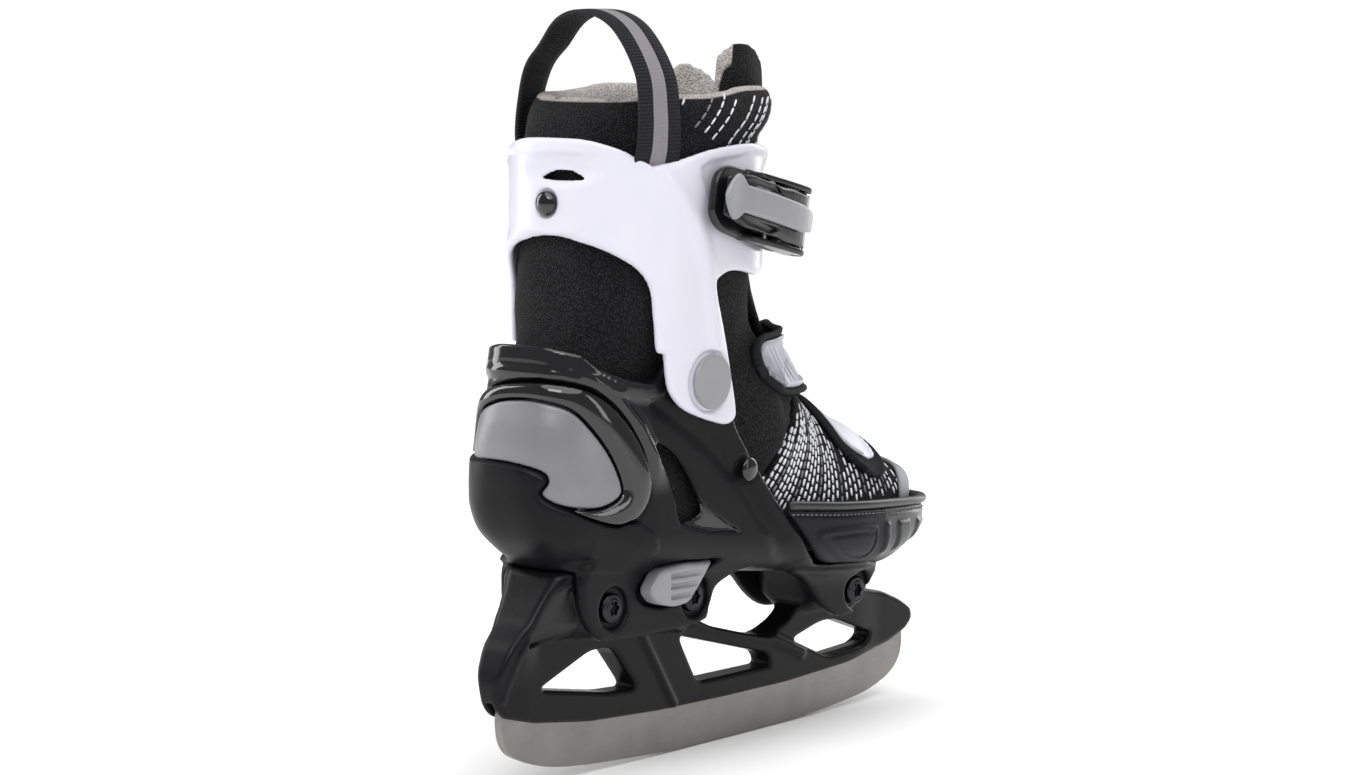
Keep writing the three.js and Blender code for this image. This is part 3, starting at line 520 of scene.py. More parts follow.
BOLT_BLACK = metal("bolt_black", (0.035, 0.035, 0.038), 0.3, strength=0.1)
KNIT = woven("black_knit", KNIT_DARK, KNIT_HIGHLIGHT, KNIT_STITCH, 0.8, sheen=0.02)
DASH_THREAD = woven("dash_thread", (0.72, 0.72, 0.75), (0.92, 0.92, 0.94), 0.6, 0.5)
GREY_THREAD = woven("grey_thread", (0.16, 0.16, 0.17), (0.3, 0.3, 0.32), 0.6, 0.5)
LOOP_TAPE = webbing("loop_tape", (0.003, 0.003, 0.004), (0.022, 0.022, 0.026), (0.19, 0.185, 0.19), 3.1)
STRAP_TAPE = webbing("strap_tape", (0.004, 0.004, 0.005), (0.016, 0.016, 0.019), pitch=0.9)
LEAF_SILVER = moulded("leaf_silver", (0.30, 0.30, 0.35), 0.35, 0.7, 0.1, metallic=0.3)
LEAF_WHITE = moulded("leaf_white", (0.62, 0.62, 0.70), 0.35, 0.7, 0.1)
PATCH_GREY = moulded("patch_grey", (0.20, 0.20, 0.23), 0.5, 0.6, 0.3)
FOOTBED_GREY = woven("footbed_felt", (0.1, 0.1, 0.1), (0.2, 0.2, 0.2), 1.2, 0.6)
TOE_RUBBER_SMOOTH = moulded("toe_piping_rubber", (0.014, 0.014, 0.015), 0.35, 0.5, 0.1)


def lined_fabric():
    """Knit outside and terry lining inside; the lining attribute is the depth past their border in mm."""
    finish = Finish("upper_fabric", (0.003, 0.003, 0.004), CLOTH_ROUGHNESS[1], Sheen_Weight=0.02,
                    Specular_IOR_Level=0.2)
    lining = finish.span(finish.attribute("lining"), 0, 1, -0.25, 0.25)
    top, fuzz, lit = finish.knit(KNIT_STITCH, 0.5)
    # the stitch tops get the second colour: a painted highlight on each stitch of the outer knit
    knit = finish.mix(lit, KNIT_DARK, KNIT_HIGHLIGHT)
    terry = finish.mix(finish.span(fuzz, 0, 1, 0.3, 0.7), (0.30, 0.275, 0.26), (0.52, 0.485, 0.465))
    finish.colour(finish.mix(lining, knit, terry))
    cloudy_roughness(finish)
    finish.relief((top, 0.9, 0.5), (fuzz, 0.5, 0.25))
    return finish.material


UPPER_FABRIC = lined_fabric()


# ---- the foot's outline, which shell, toe cap and boot share ----
def sole_height(x):
    return 69 - 0.121 * x + np.maximum(x - 55, 0) ** 2 / 170


def medial_shift(x):
    return 2 * ease((x - 20) / 60)


FOOT_REAR, FOOT_FRONT = -120.5, 108.5
FOOT_HALF = 34  # half the foot's width at the heel


def widening(x):
    """How much wider the foot is, to each side, than at the heel."""
    return 8 * ease((x + 60) / 110)


def foot_skin(grid, grow=0.0):
    """Distance from the shell's skin, grown outward by grow."""
    x, y, z = grid.x, grid.y, grid.z
    h = z - sole_height(x)
    base = 14 * (1 - np.clip(h / 16, 0, 1)) ** 2
    rear = FOOT_REAR + 10 * ease((h - 30) / 60) + base - grow
    front = FOOT_FRONT - base + grow
    half = FOOT_HALF + widening(x) - base - 0.4 * ease((h - 25) / 30) + grow
    along = np.abs(x - (rear + front) / 2) / ((front - rear) / 2)
    across = np.abs(y - medial_shift(x)) / half
    reach = (along**3.6 + across**3.6) ** (1 / 3.6) - 1
    return grid.distance(reach)


def heel_taper(x, z):
    """How far the heel draws in towards the sole, less the rounding that the foot's skin has there."""
    base = np.clip(1 - (z - sole_height(x)) / 16, 0, 1) ** 2
    return (10.5 * ease((108 - z) / 36) - 9 * base) * ease((-72 - x) / 28)


HEEL_CENTRE = -86
HEEL_TURN = 34  # mm of surface for each radian about the heel's centre


def heel_arc(grid):
    """Distance round the heel from its rear middle, to the outer side, as on a flat pattern."""
    return HEEL_TURN * np.arctan2(-grid.y, HEEL_CENTRE - grid.x)


def both_sides(points):
    return [(-a, z) for a, z in points[::-1]] + [(0, points[0][1])] + list(points)


# on the heel's flat pattern: distance round the heel, height
HEEL_INSERT = [(-22, 137), (-12, 143), (-1, 145), (13, 145), (25, 142), (34, 134), (42, 124), (47, 113.5),
               (45.5, 109),
               (37, 106), (27, 106.5), (19.5, 108.5), (15, 112), (17.5, 116.5), (15, 120), (5, 122),
               (-6, 122.5), (-22, 123)]
HEEL_RING = [(-29, 139), (-20, 147), (-10, 150), (2, 151.5), (15, 152), (30, 150), (43, 143.5), (54, 133),
             (61, 121),
             (62.5, 110), (57, 101.5), (48, 98.5), (36, 100), (25, 103.5), (13, 109), (-29, 118)]
HEEL_LIP = [(-70, 124), (-40, 123.5), (-8, 122.5), (6, 121.8), (15, 119.6), (17.2, 116.2), (14.6, 112.2),
            (19, 108.4), (27, 104.8), (36, 101), (46, 98.4), (56, 99), (70, 84), (70, 60), (-70, 60)]
SECOND_BAND = both_sides([(10, 155.5), (22, 155), (36, 151.5), (48, 144.5), (58, 134), (65, 121),
                          (66.5, 110)])

SHELL_SIDE = [(-140, 40), (-140, 164), (-109, 163.8), (-99, 157.5), (-90, 153.4), (-79, 150.6),
              (-72.5, 151.5),
              (-67.5, 157), (-62, 163), (-54, 166.3), (-46, 165.6), (-38, 160.5), (-33.5, 151), (-31.8, 140),
              (-30, 130), (-20, 115), (-11, 103), (-3, 93), (3, 86.5), (11, 78.3), (19, 72.8), (28, 69.3),
              (70, 64.2), (70, 40)]
REAR_LUG = [(-94, 86), (-101, 79), (-102, 73), (-101, 65), (-94, 56.5), (-84, 53.8), (-36, 53.2), (-29, 59),
            (-25, 68), (-18, 76), (-18, 90), (-92, 90)]
FRONT_LUG = [(20, 72), (31, 61.5), (41, 51), (51, 44.5), (60, 43.5), (68, 46.5), (72.5, 52), (74, 58),
             (72, 61), (66, 66), (40, 72)]
SIDE_WINDOW = [(-73, 127), (-64, 122.5), (-56, 113), (-51, 104), (-49, 98.5), (-60, 97), (-63.5, 105),
               (-68, 116)]
WINDOW_FLOOR = [(-53, 107), (-46, 99.5), (-28, 89.4), (-44, 91), (-61, 96), (-62, 101)]
WING_GROOVE = [(-73, 142), (-60, 134), (-45, 124), (-30, 110), (-16, 93), (-4, 80), (8, 72)]
WING_RIVET = (-25, 113)
BUTTON = [(-72, 71), (-66, 78.5), (-52, 79.5), (-32, 78.2), (-49, 64), (-58, 63.5), (-68, 66)]


def bolt_recesses(grid, solid, radius, depth_from):
    """Round seats for the bolt heads on both sides, and the holes through."""
    for x, z in BOLTS.values():
        from_axis = from_point(grid.x, grid.z, (x, z))
        seat = smooth_max(from_axis - radius, depth_from - np.abs(grid.y), 0.8)
        solid = smooth_max(solid, -seat, 1.0)
        solid = np.maximum(solid, 4.0 - from_axis)
    return solid


def make_shell():
    grid = Grid((-127, -47, 40), (78, 49, 169.5), 0.85)
    x, y, z = grid.x, grid.y, grid.z
    arc = heel_arc(grid)
    skin = foot_skin(grid)
    outside = smooth_max(skin, sole_height(x) - z, 5)
    heel = ease((-52 - x) / 12)
    ring = outline_distance(smooth_line(HEEL_RING, 3), arc, z)
    lip = outline_distance(smooth_line(HEEL_LIP, 2), arc, z)
    band = polyline_distance(SECOND_BAND, arc, z)
    edge = outline_distance(smooth_line(SHELL_SIDE, 3), x, z)
    fade = ease((z - 108) / 18) * heel
    raised = bump(band, 4.2, 1.5) * fade
    raised = raised + 1.3 * ease((edge + 7.8) / 2.5) * ease((-62 - x) / 10)
    raised = raised + 2.6 * ease(0.5 - lip / 2.2) * heel * ease((z - 74) / 22)
    raised = raised - 1.6 * ease(0.5 - (ring - 0.6) / 1.6) * ease(0.5 + lip / 2) * heel
    raised = raised - bump(polyline_distance(WING_GROOVE, x, z), 5.5, 1.1)
    taper = heel_taper(x, z)
    outside = outside - raised + taper
    cavity = smooth_max(skin + SHELL_WALL + taper, sole_height(x) + FLOOR - z, 4)
    walls = smooth_max(smooth_max(outside, edge, 2.2), -cavity, 1.2)
    across = np.abs(y)
    for outline in (REAR_LUG, FRONT_LUG):
        plate = outline_distance(smooth_line(outline, 3), x, z)
        slab = np.abs(across - (LUG_INSIDE + LUG_OUTSIDE) / 2) - (LUG_OUTSIDE - LUG_INSIDE) / 2
        lug = smooth_max(plate, slab, 1.6)
        walls = smooth_min(walls, lug, 9)
    under = smooth_max(across - LUG_INSIDE, z - (sole_height(x) - GAP / 2), 0.5)
    walls = np.maximum(walls, -under)
    solid = bolt_recesses(grid, walls, 8, 18.4)
    window = outline_distance(smooth_line(SIDE_WINDOW, 4), x, z)
    opening = smooth_max(window, 22 - across, 1)
    floor = outline_distance(rounded(WINDOW_FLOOR, 2), x, z)
    hollow = smooth_max(floor, -skin - 1.6, 0.6)
    solid = smooth_max(solid, -opening, 1.4)
    solid = smooth_max(solid, -hollow, 1.2)
    seat_outline = [(-52 + (a + 52) * 1.05, 72 + (b - 72) * 1.12) for a, b in BUTTON]
    seat = smooth_max(outline_distance(rounded(seat_outline, 3), x, z), y + 19.2, 0.8)
    solid = smooth_max(solid, -seat, 1.2)
    rivet = from_point(x, z, WING_RIVET)
    solid = smooth_max(solid, -np.maximum(rivet - 5.4, -(skin + 1.1)), 0.8)
    vertices, faces = surface(grid, solid)
    shell = add_piece("shell_moulding", vertices, faces, SHELL_BLACK, "boot", ["shell"])
    vx, vy, vz = vertices.T
    v_arc = HEEL_TURN * np.arctan2(-vy, HEEL_CENTRE - vx)
    v_edge = outline_distance(smooth_line(SHELL_SIDE, 3), vx, vz)
    v_band = polyline_distance(SECOND_BAND, v_arc, vz)
    near_top = ease((v_edge + 10) / 3) * ease((-70 - vx) / 14)
    polish = np.maximum(near_top, ease((5.5 - v_band) / 2) * ease((vz - 106) / 10) * ease((-54 - vx) / 8))
    v_ring = outline_distance(smooth_line(HEEL_RING, 3), v_arc, vz)
    polish = np.maximum(polish, ease((1.5 - v_ring) / 1) * ease((-60 - vx) / 5))
    v_lip = outline_distance(smooth_line(HEEL_LIP, 2), v_arc, vz)
    polish = polish * np.where((v_lip < 0.6) & (vx < -60), 0.0, 1.0)
    v_floor = outline_distance(rounded(WINDOW_FLOOR, 2), vx, vz)
    polish = np.maximum(polish, ease((1 - v_floor) / 1.5))
    set_attribute(shell, "gloss", polish)


def make_heel_insert_and_ring():
    grid = Grid((-127, -42, 92), (-66, 26, 160), 0.6)
    skin = foot_skin(grid)
    arc = heel_arc(grid)
    insert = outline_distance(smooth_line(HEEL_INSERT, 4), arc, grid.z)
    ring = outline_distance(smooth_line(HEEL_RING, 4), arc, grid.z)
    lip = outline_distance(smooth_line(HEEL_LIP, 2), arc, grid.z)
    crown = 0.9 * ease(-insert / 9)
    plate = smooth_max(np.abs(skin - 0.2 - crown / 2) - 0.9 - crown / 2, insert + 0.3, 1.2)
    vertices, faces = surface(grid, plate)
    add_piece("heel_plate", vertices, faces, SATIN_GREY, "boot", ["heel_insert"])
    width = np.clip(-ring, 0, None) / np.maximum(np.clip(-ring, 0, None) + np.clip(insert, 0, None), 0.1)
    swell = 2.3 * np.sqrt(np.clip(1 - (2 * width - 1) ** 2, 0, 1))
    band = smooth_max(ring + 0.3, 0.5 - insert, 1)
    band = smooth_max(band, 0.4 - lip, 1)
    band = smooth_max(band, skin - swell, 0.8)
    band = smooth_max(band, -skin - 1.0, 0.6)
    vertices, faces = surface(grid, band)
    add_piece("heel_gloss_ring", vertices, faces, GLOSS_BLACK, "boot", ["heel_gloss_frame"])


# ---- toe cap ----
CAP_SIDE = [(-3.6, 95), (0, 91.2), (4, 86.8), (12, 78.8), (20, 73.2), (28.4, 70), (71.6, 65), (71.6, 48),
            (130, 48), (130, 83.5), (104, 84.5), (78, 87.5), (52, 89.6), (26, 91.8)]
CAP_PANEL = [(12, 84), (30, 84.5), (49, 83), (51, 80), (50, 72), (46, 69), (36, 70), (24, 75)]


def rim_height(x):
    return np.interp(x, [-6, 26, 52, 78, 130], [95.8, 92.2, 90, 87.9, 83.7])


def make_toe_cap():
    grid = Grid((-6, -46, 48), (112.5, 49, 97), 0.75)
    x, y, z = grid.x, grid.y, grid.z
    skin = foot_skin(grid, 1)
    outside = smooth_max(skin, sole_height(x) + 0.2 - z, 5)
    panel = outline_distance(smooth_line(CAP_PANEL, 3), x, z)
    inner_groove = 0.7 * ease(1 - np.abs(panel + 2.6) / 1.2) * (panel < 0)
    outside = outside - 0.9 * ease(0.5 - panel / 1.6) + inner_groove
    turn = np.arctan2(np.abs(y - medial_shift(x)), x - 60)
    rib = np.abs(np.cos(turn * 7.5))
    upright = ease((x - 56) / 3) * ease((rim_height(x) - 5.5 - z) / 2) * ease((z - sole_height(x) - 7) / 3)
    outside = outside - 1.0 * ease((rib - 0.45) / 0.3) * upright
    groove = rim_height(x) - 2.2 - z
    outside = outside + 0.8 * ease(1 - np.abs(groove) / 1.1)
    cavity = smooth_max(skin + SHELL_WALL, sole_height(x) + FLOOR - z, 3)
    side = outline_distance(CAP_SIDE, x, z)
    solid = smooth_max(smooth_max(outside, side, 1.2), -cavity, 1)
    for bolt in BOLTS.values():
        away = 8 - from_point(x, z, bolt)
        solid = np.maximum(solid, np.where(np.abs(y) > 30, away - 100, away))  # only near the middle
    vertices, faces = surface(grid, solid)
    cap = add_piece("toe_bumper", vertices, faces, TOE_RUBBER, "toe", ["toe_cap"])
    vx, vy, vz = vertices.T
    lifted = ease((vx - 56) / 4) * ease((vz - sole_height(vx) - 5) / 4)
    set_attribute(cap, "gloss", lifted * 0.6)


def rim_path(grow, lower=0.0, from_x=-3.0):
    """The line round the toe at the cap's upper edge, from the outer to the inner side."""
    path = []
    for angle in np.linspace(-math.pi, math.pi, 241):
        height = rim_height(60.0)
        for _ in range(3):
            rear, front = FOOT_REAR - grow, FOOT_FRONT + grow
            x = (rear + front) / 2 + (front - rear) / 2 * math.cos(angle)
            height = float(rim_height(x)) - lower
        half = FOOT_HALF + float(widening(x)) - 0.1 + grow
        y = float(medial_shift(x)) + math.copysign(half * (1 - abs(math.cos(angle)) ** 3.6) ** (1 / 3.6),
                                                   angle)
        if x >= from_x:
            path.append((x, y, height))
    return smooth_line(path, 2, closed=False)


def make_toe_rim():
    vertices, faces = sweep(rim_path(0.6, -1.4), circle(1.75, 14))
    add_piece("toe_piping", vertices, faces, TOE_RUBBER_SMOOTH, "toe", ["toe_rim"])
    path = rim_path(0.75, 2.2)
    stitches(path, "toe_stitching", GREY_THREAD, "toe", 2.6, 1.7, 0.28)


def stitches(path, name, material, body, pitch, length, radius):
    """Short rounded stitches along a line."""
    path = np.asarray(path, float)
    run = run_of(path)
    vertices, faces = [], []
    for start in np.arange(pitch / 2, run[-1] - length, pitch):
        at = [start + length * share for share in (0, 0.12, 0.5, 0.88, 1)]
        points = point_at(at, run, path)
        ahead = points[-1] - points[0]
        ahead /= np.linalg.norm(ahead)
        side = np.cross(ahead, (0.3, 0.2, 1.0))
        side /= np.linalg.norm(side)
        up = np.cross(side, ahead)
        first = len(vertices)
        for point, swell in zip(points, (0.3, 0.8, 1, 0.8, 0.3)):
            for a in range(6):
                turn = a * math.pi / 3
                vertices.append(point + radius * swell * (side * math.cos(turn) + up * math.sin(turn)))
        faces += [tuple(first + k for k in face) for face in tube_faces(5, 6)]
    add_piece(name, vertices, faces, material, body)


# ---- cuff ----
def cuff_section(x, y, z, inset=0.0):
    """How far points lie from the cuff's middle line, forward and sideways, as shares of its half sizes."""
    share = np.clip((z - 149) / 93, -0.3, 1.3)
    top = np.maximum(z - 238, 0) * 0.25
    along = np.abs(x + 52 - 7 * share - top) / (50.2 - inset)
    across = np.abs(y) / (38.6 + 4.6 * np.maximum(share, 0) - inset - top * 0.4)
    return along, across


def cuff_skin(grid, inset=0.0):
    """Distance from the cuff's skin, shrunk by inset."""
    power = 3.2 - 0.8 * np.clip((grid.z - 150) / 55, 0, 1)
    along, across = cuff_section(grid.x, grid.y, grid.z, inset)
    reach = (along**power + across**power) ** (1 / power) - 1
    return grid.distance(reach)


CUFF_SIDE = [(-112, 240.5), (-96, 240), (-91, 237.8), (-85, 234), (-79.5, 229.8), (-78.5, 229.6),
             (-68, 231.8),
             (-54, 235), (-36, 236.6), (-24, 236.2), (-11, 233.6), (-2, 229), (2, 222), (2.5, 212), (0, 202),
             (-6, 193), (-13, 187.6), (-22, 186.6), (-32, 188.6), (-40, 189.2), (-46, 187.4), (-49, 183.5),
             (-42, 166), (-37, 150), (-34, 138), (-34.2, 133.8), (-37.5, 131.8), (-43, 132), (-56, 135.8),
             (-66, 140.2), (-72, 146.5), (-74, 154), (-75, 160.5), (-78, 162), (-79, 174), (-80, 184.5),
             (-83.5, 191.4), (-90, 197.4), (-95, 201.6), (-98, 204.6), (-112, 206)]
WING_PANEL = [(-59, 228.5), (-40, 232), (-22, 233), (-6, 228), (-2, 214), (-8, 199), (-22, 197), (-38, 203),
              (-50, 212)]
ARM_RIDGE = [(-80, 229), (-70, 219), (-60, 205), (-54, 190), (-50, 172), (-48, 160)]


def make_cuff():
    grid = Grid((-108, -50, 126), (6, 50, 245), 0.75)
    x, y, z = grid.x, grid.y, grid.z
    skin = cuff_skin(grid)
    side = outline_distance(smooth_line(CUFF_SIDE, 3), x, z)
    panel = outline_distance(smooth_line(WING_PANEL, 3), x, z)
    ridge = polyline_distance(smooth_line(ARM_RIDGE, 3, False), x, z)
    rear = ease((-72 - x) / 10)
    lens = np.sqrt(((y + 4.5) / 17) ** 2 + ((z - 228.5) / 6.5) ** 2)
    outside = skin + 1.3 * ease(0.5 - panel / 2.4)
    outside = outside - bump(ridge, 7, 1.3)
    outside = outside - 0.8 * ease((z - 232.5) / 2.5) * rear
    outside = outside + 2.0 * ease((1.2 - lens) * 1.4) * rear
    solid = smooth_max(np.maximum(outside, -(skin + CUFF_WALL)), side, 2.0)
    throat = smooth_max(np.abs(y) - 21, -30 - x, 2)
    solid = smooth_max(solid, -throat, 1.5)
    slot_top = z - (227.7 - 0.03 * (y + 4.5) ** 2)
    slot = np.maximum(np.maximum(slot_top, 224.2 + 0.002 * (y + 4.5) ** 2 - z), x + 85)
    solid = smooth_max(solid, -slot, 0.8)
    screw = np.maximum(from_point(y, z, REAR_SCREW[1:]) - 5.2, x + 85)
    solid = smooth_max(solid, -np.maximum(screw, -(skin + 1.0)), 0.8)
    pivot = from_point(x, z, PIVOT)
    solid = smooth_max(solid, -np.maximum(np.abs(pivot - 11) - 0.5, -skin - 0.7), 0.5)
    vertices, faces = surface(grid, solid)
    add_piece("cuff_moulding", vertices, faces, CUFF_WHITE, "cuff", ["cuff"])


# ---- holder and blade ----
HOLDER_SIDE = [(-127, 29), (-110, 24.5), (-80, 20.3), (-40, 18), (0, 17.2), (40, 17), (80, 18.7), (110, 23),
               (122, 27), (126.3, 31), (125.5, 35.5), (118, 40), (106, 45), (93, 48), (82, 52.5), (75, 57),
               (72, 61.5), (38, 65.5), (44, 55), (46, 48), (38, 42.5), (25, 38), (10, 41.5), (-10, 47),
               (-20, 51.5), (-26, 58), (-27, 72), (-106, 81.5), (-112, 72), (-118, 63), (-126, 55),
               (-131, 46), (-132, 40), (-131, 34)]
HOLDER_WINDOWS = [[(-109, 37), (-80, 47.4), (-68, 47), (-53, 29), (-70, 30)],
                  [(-29, 46), (-17.5, 26), (29, 25.5), (26, 31)],
                  [(42, 34), (61, 38.6), (71, 38.4), (97, 29), (91, 24.8), (66, 23.6)]]
TEXTURED_PANEL = [(-118, 54), (-96, 57), (-99, 66), (-104, 77), (-109, 74), (-116, 63)]


def make_holder():
    grid = Grid((-133, -17, 14), (128, 17, 83), 0.7)
    x, y, z = grid.x, grid.y, grid.z
    side = outline_distance(rounded(HOLDER_SIDE, 3, 4), x, z)
    top = sole_height(x) - GAP - z
    rear_rise = ease((z - 50 + 0.1 * (x + 70)) / 9)
    rear_seat = rear_rise * ease((x + 121 + (68 - z) * 0.3) / 16) * ease((-25 - x) / 6)
    front_seat = ease((z - 43) / 9) * ease((x - 40 - (50 - z) * 0.3) / 8) * ease((90 - x) / 14)
    half = BEAM_HALF + (PEDESTAL_HALF - BEAM_HALF) * np.maximum(rear_seat, front_seat)
    spine = ease((-108 - x) / 12) * ease((z - 38) / 20)
    half = half + 2.6 * spine * (1 - rear_seat)
    half = half - 1.0 * ease((-114 - x) / 14) * ease((46 - z) / 10)
    half = half - 1.3 * ease((x - 84) / 20)
    diagonal = polyline_distance([(-53, 52), (-42, 35), (-32, 19)], x, z)
    half = half + bump(diagonal, 3.0, 1.3)
    half = half + bump(polyline_distance([(-20, 50.5), (6, 42), (30, 36), (48, 28)], x, z), 4, 1.4)
    rear_line = polyline_distance(smooth_line([(-128, 36), (-122, 52), (-112, 62), (-104, 76)], 4, False),
                                  x, z)
    half = half + bump(rear_line, 2.6, 1.2)
    panel = outline_distance(rounded(TEXTURED_PANEL, 3), x, z)
    half = half - 1.6 * ease(0.5 - panel / 2)
    slope = np.gradient(np.broadcast_to(half, (grid.shape[0], 1, grid.shape[2]))[:, 0], grid.step)
    steep = np.sqrt(1 + slope[0] ** 2 + slope[1] ** 2)[:, None]
    solid = (np.abs(y) - half) / steep
    solid = smooth_max(solid, side, 2.2)
    solid = smooth_max(solid, -top, 0.5)
    for outline in HOLDER_WINDOWS:
        window = outline_distance(rounded(outline, 4, 4), x, z)
        solid = smooth_max(solid, -window, 1.8)
    slot_top = np.interp(x, [-140, -127, -90, -40, 40, 90, 108, 122],
                         [36, 34.6, 27.6, 24.6, 23.6, 26.1, 27.6, 28.8])
    slot = smooth_max(np.abs(y) - BLADE_THICKNESS / 2 - 0.2, z - slot_top, 0.4)
    solid = np.maximum(solid, -np.maximum(slot, x - 121.9))
    for bolt in BOLTS.values():
        solid = np.maximum(solid, 4.0 - from_point(x, z, bolt))
    vertices, faces = surface(grid, solid)
    holder = add_piece("holder_moulding", vertices, faces, HOLDER_BLACK, "boot",
                       ["blade_holder"])
    vx, vy, vz = vertices.T
    rough = ease(0.5 - (outline_distance(rounded(TEXTURED_PANEL, 3), vx, vz) + 1) / 1.5)
    set_attribute(holder, "gloss", rough)


BLADE_EDGE = [(-126, 27), (-125, 20), (-121.5, 14.6), (-115, 11), (-106, 7.6), (-95, 5.2), (-80, 3.4),
              (-61, 2),
              (-41, 0.8), (-20, 0), (30, 0), (60, 0.6), (92, 3.4), (106, 6.6), (114, 10), (119, 14.5),
              (121.2, 20), (121.3, 28)]
BLADE_BACK = [(108, 27), (90, 25.5), (40, 23), (-40, 24), (-90, 27), (-125.4, 34)]


def make_blade():
    """The runner: a flat plate with its side edges bevelled."""
    lower = smooth_line(BLADE_EDGE, 5, closed=False)
    outline = np.concatenate([lower, np.array(BLADE_BACK, float)])
    count = len(outline)
    middle = outline.mean(0)
    half = BLADE_THICKNESS / 2
    bevel = 0.25
    toward = unit(middle - outline)
    rings = []
    for y, inset in ((-half, bevel), (-half + bevel, 0), (-0.5, 0), (0, 0), (0.5, 0), (half - bevel, 0),
                     (half, bevel)):
        ring = outline + toward * inset
        rings.append(np.column_stack([ring[:, 0], np.full(count, y), ring[:, 1]]))
    vertices = np.concatenate(rings)
    faces = [f[::-1] for f in tube_faces(len(rings), count)]
    blade = add_piece("runner_steel", vertices, faces, STEEL, "boot", ["blade_runner"])
    blade.data.shade_flat()


def lathe(name, profile, centre, axis, material, body, replaces, count=40):
    """A turned part. The profile's points are (radius, distance along the axis)."""
    axis = Vector(axis).normalized()
    side = axis.orthogonal().normalized()
    other = axis.cross(side)
    vertices = []
    for radius, along in profile:
        for i in range(count):
            turn = 2 * math.pi * i / count
            out = side * math.cos(turn) + other * math.sin(turn)
            vertices.append(Vector(centre) + axis * along + out * max(radius, 0.01))
    return add_piece(name, vertices, tube_faces(len(profile), count), material, body, replaces)


def bolt_head(name, centre, outward, material, node):
    """A button head with a six-lobed socket."""
    grid = Grid((-6.5, -6.5, -1), (6.5, 6.5, 3.4), 0.28 / FINE)
    r = np.sqrt(grid.x**2 + grid.y**2)
    turn = np.arctan2(grid.y, grid.x)
    dome = smooth_max(r - BOLT_HEAD, grid.z - 2.6 + 0.02 * r * r, 1.2)
    solid = smooth_max(dome, -grid.z, 0.3)
    ring = smooth_max(np.abs(r - 4.1) - 0.25, 2.0 - grid.z, 0.3)
    solid = smooth_max(solid, -ring, 0.4)
    socket = np.maximum(r - 2.5 - 0.45 * np.cos(6 * turn), 0.8 - grid.z)
    solid = smooth_max(solid, -socket, 0.3)
    vertices, faces = surface(grid, solid)
    x, y, z = centre
    placed = np.column_stack([x + vertices[:, 0] * -outward, y + outward * vertices[:, 2],
                              z + vertices[:, 1]])
    return add_piece(name, placed, faces, material, "boot", [node])


def make_fasteners():
    for name, (x, z) in BOLTS.items():
        bolt_head(f"bolt_{name}", (x, -BOLT_SEAT, z), -1, BOLT_BLACK, f"holder_bolt_{name}")
        bolt_head(f"nut_{name}", (x, BOLT_SEAT, z), 1, BOLT_BLACK, f"barrel_nut_{name}")
    for side, sign in (("lateral", -1), ("medial", 1)):
        lathe(f"wing_stud_{side}", [(0, 0), (4.3, 0), (4.6, 0.5), (4.4, 1.1), (3.2, 1.7), (1.6, 2.0),
                                    (0, 2.1)],
              (WING_RIVET[0], sign * 36.4, WING_RIVET[1]), (0, sign, 0), GLOSS_BLACK, "boot",
              [f"wing_rivet_{side}"])
        lathe(f"pivot_disc_{side}", [(0, 0), (10.2, 0), (10.5, 0.5), (10.3, 1.2), (9.8, 1.5), (9.2, 1.45),
                                     (0, 1.45)],
              (PIVOT[0], sign * 39.4, PIVOT[1]), (0, sign, 0), LIGHT_GREY, "cuff",
              [f"pivot_cap_{side}"])
    lathe("rear_stud", [(0, -2), (4.6, -2), (4.7, 0), (4.3, 1.0), (3.0, 1.9), (1.4, 2.3), (0, 2.4)],
          REAR_SCREW, (-1, 0, 0), GLOSS_BLACK, "cuff", ["rear_screw"])


def make_button():
    grid = Grid((-75, -31, 60), (-29, -20, 82), 0.4)
    x, y, z = grid.x, grid.y, grid.z
    outline = outline_distance(rounded(BUTTON, 3), x, z)
    thickness = smooth_max(-y - 28.4 + 0.004 * (x + 60) ** 2, y + 20.8, 0.5)
    solid = smooth_max(outline, thickness, 2.0)
    for i in range(3):
        height = 75.2 - 3.9 * i - 0.02 * (x + 50)
        beyond = np.maximum(np.maximum(-60 - x, x + 37.5 + 3.6 * i), 0)
        groove = np.sqrt((z - height) ** 2 + beyond**2) - 0.95
        solid = smooth_max(solid, -smooth_max(groove, y + 26.9, 0.4), 0.5)
    vertices, faces = surface(grid, solid)
    add_piece("size_button_cap", vertices, faces, LIGHT_GREY, "button", ["size_button"])


# ---- soft boot ----
RIDGE = [(5, 215), (8, 185), (18, 165), (44, 132), (60, 121), (91, 104.5), (100, 98), (105, 89)]
RIDGE_CURVE = np.concatenate([[(-60.0, 640.0)], smooth_line(RIDGE, 4, closed=False)])
UPPER_INSET = 5.6  # the boot's skin inside the shell's
COLLAR_INSET = 4.6  # and inside the cuff's
COLLAR_PAD = 8.0
LINING_LIP = 1.7  # the lining rolls over the collar's top edge as far as this


def instep_power(x):
    """The section across the instep is an oval on the toes and comes to a soft peak further up."""
    return 2 - 0.55 * ease((64 - x) / 30)


def instep_reach(x, y, z, grow=0.0):
    """Negative inside the instep's sections, which run from the sole up to the ridge."""
    h = z - sole_height(x)
    widest = 29.5 + widening(x) + grow
    ridge = np.interp(x - grow, RIDGE_CURVE[:, 0], RIDGE_CURVE[:, 1]) + grow - sole_height(x)
    rise = np.clip(h - 16, 0, None) / np.maximum(ridge - 16, 1)
    across = np.abs(y - medial_shift(x)) / widest
    power = instep_power(x)
    return (across**power + rise**power) ** (1 / power) - 1


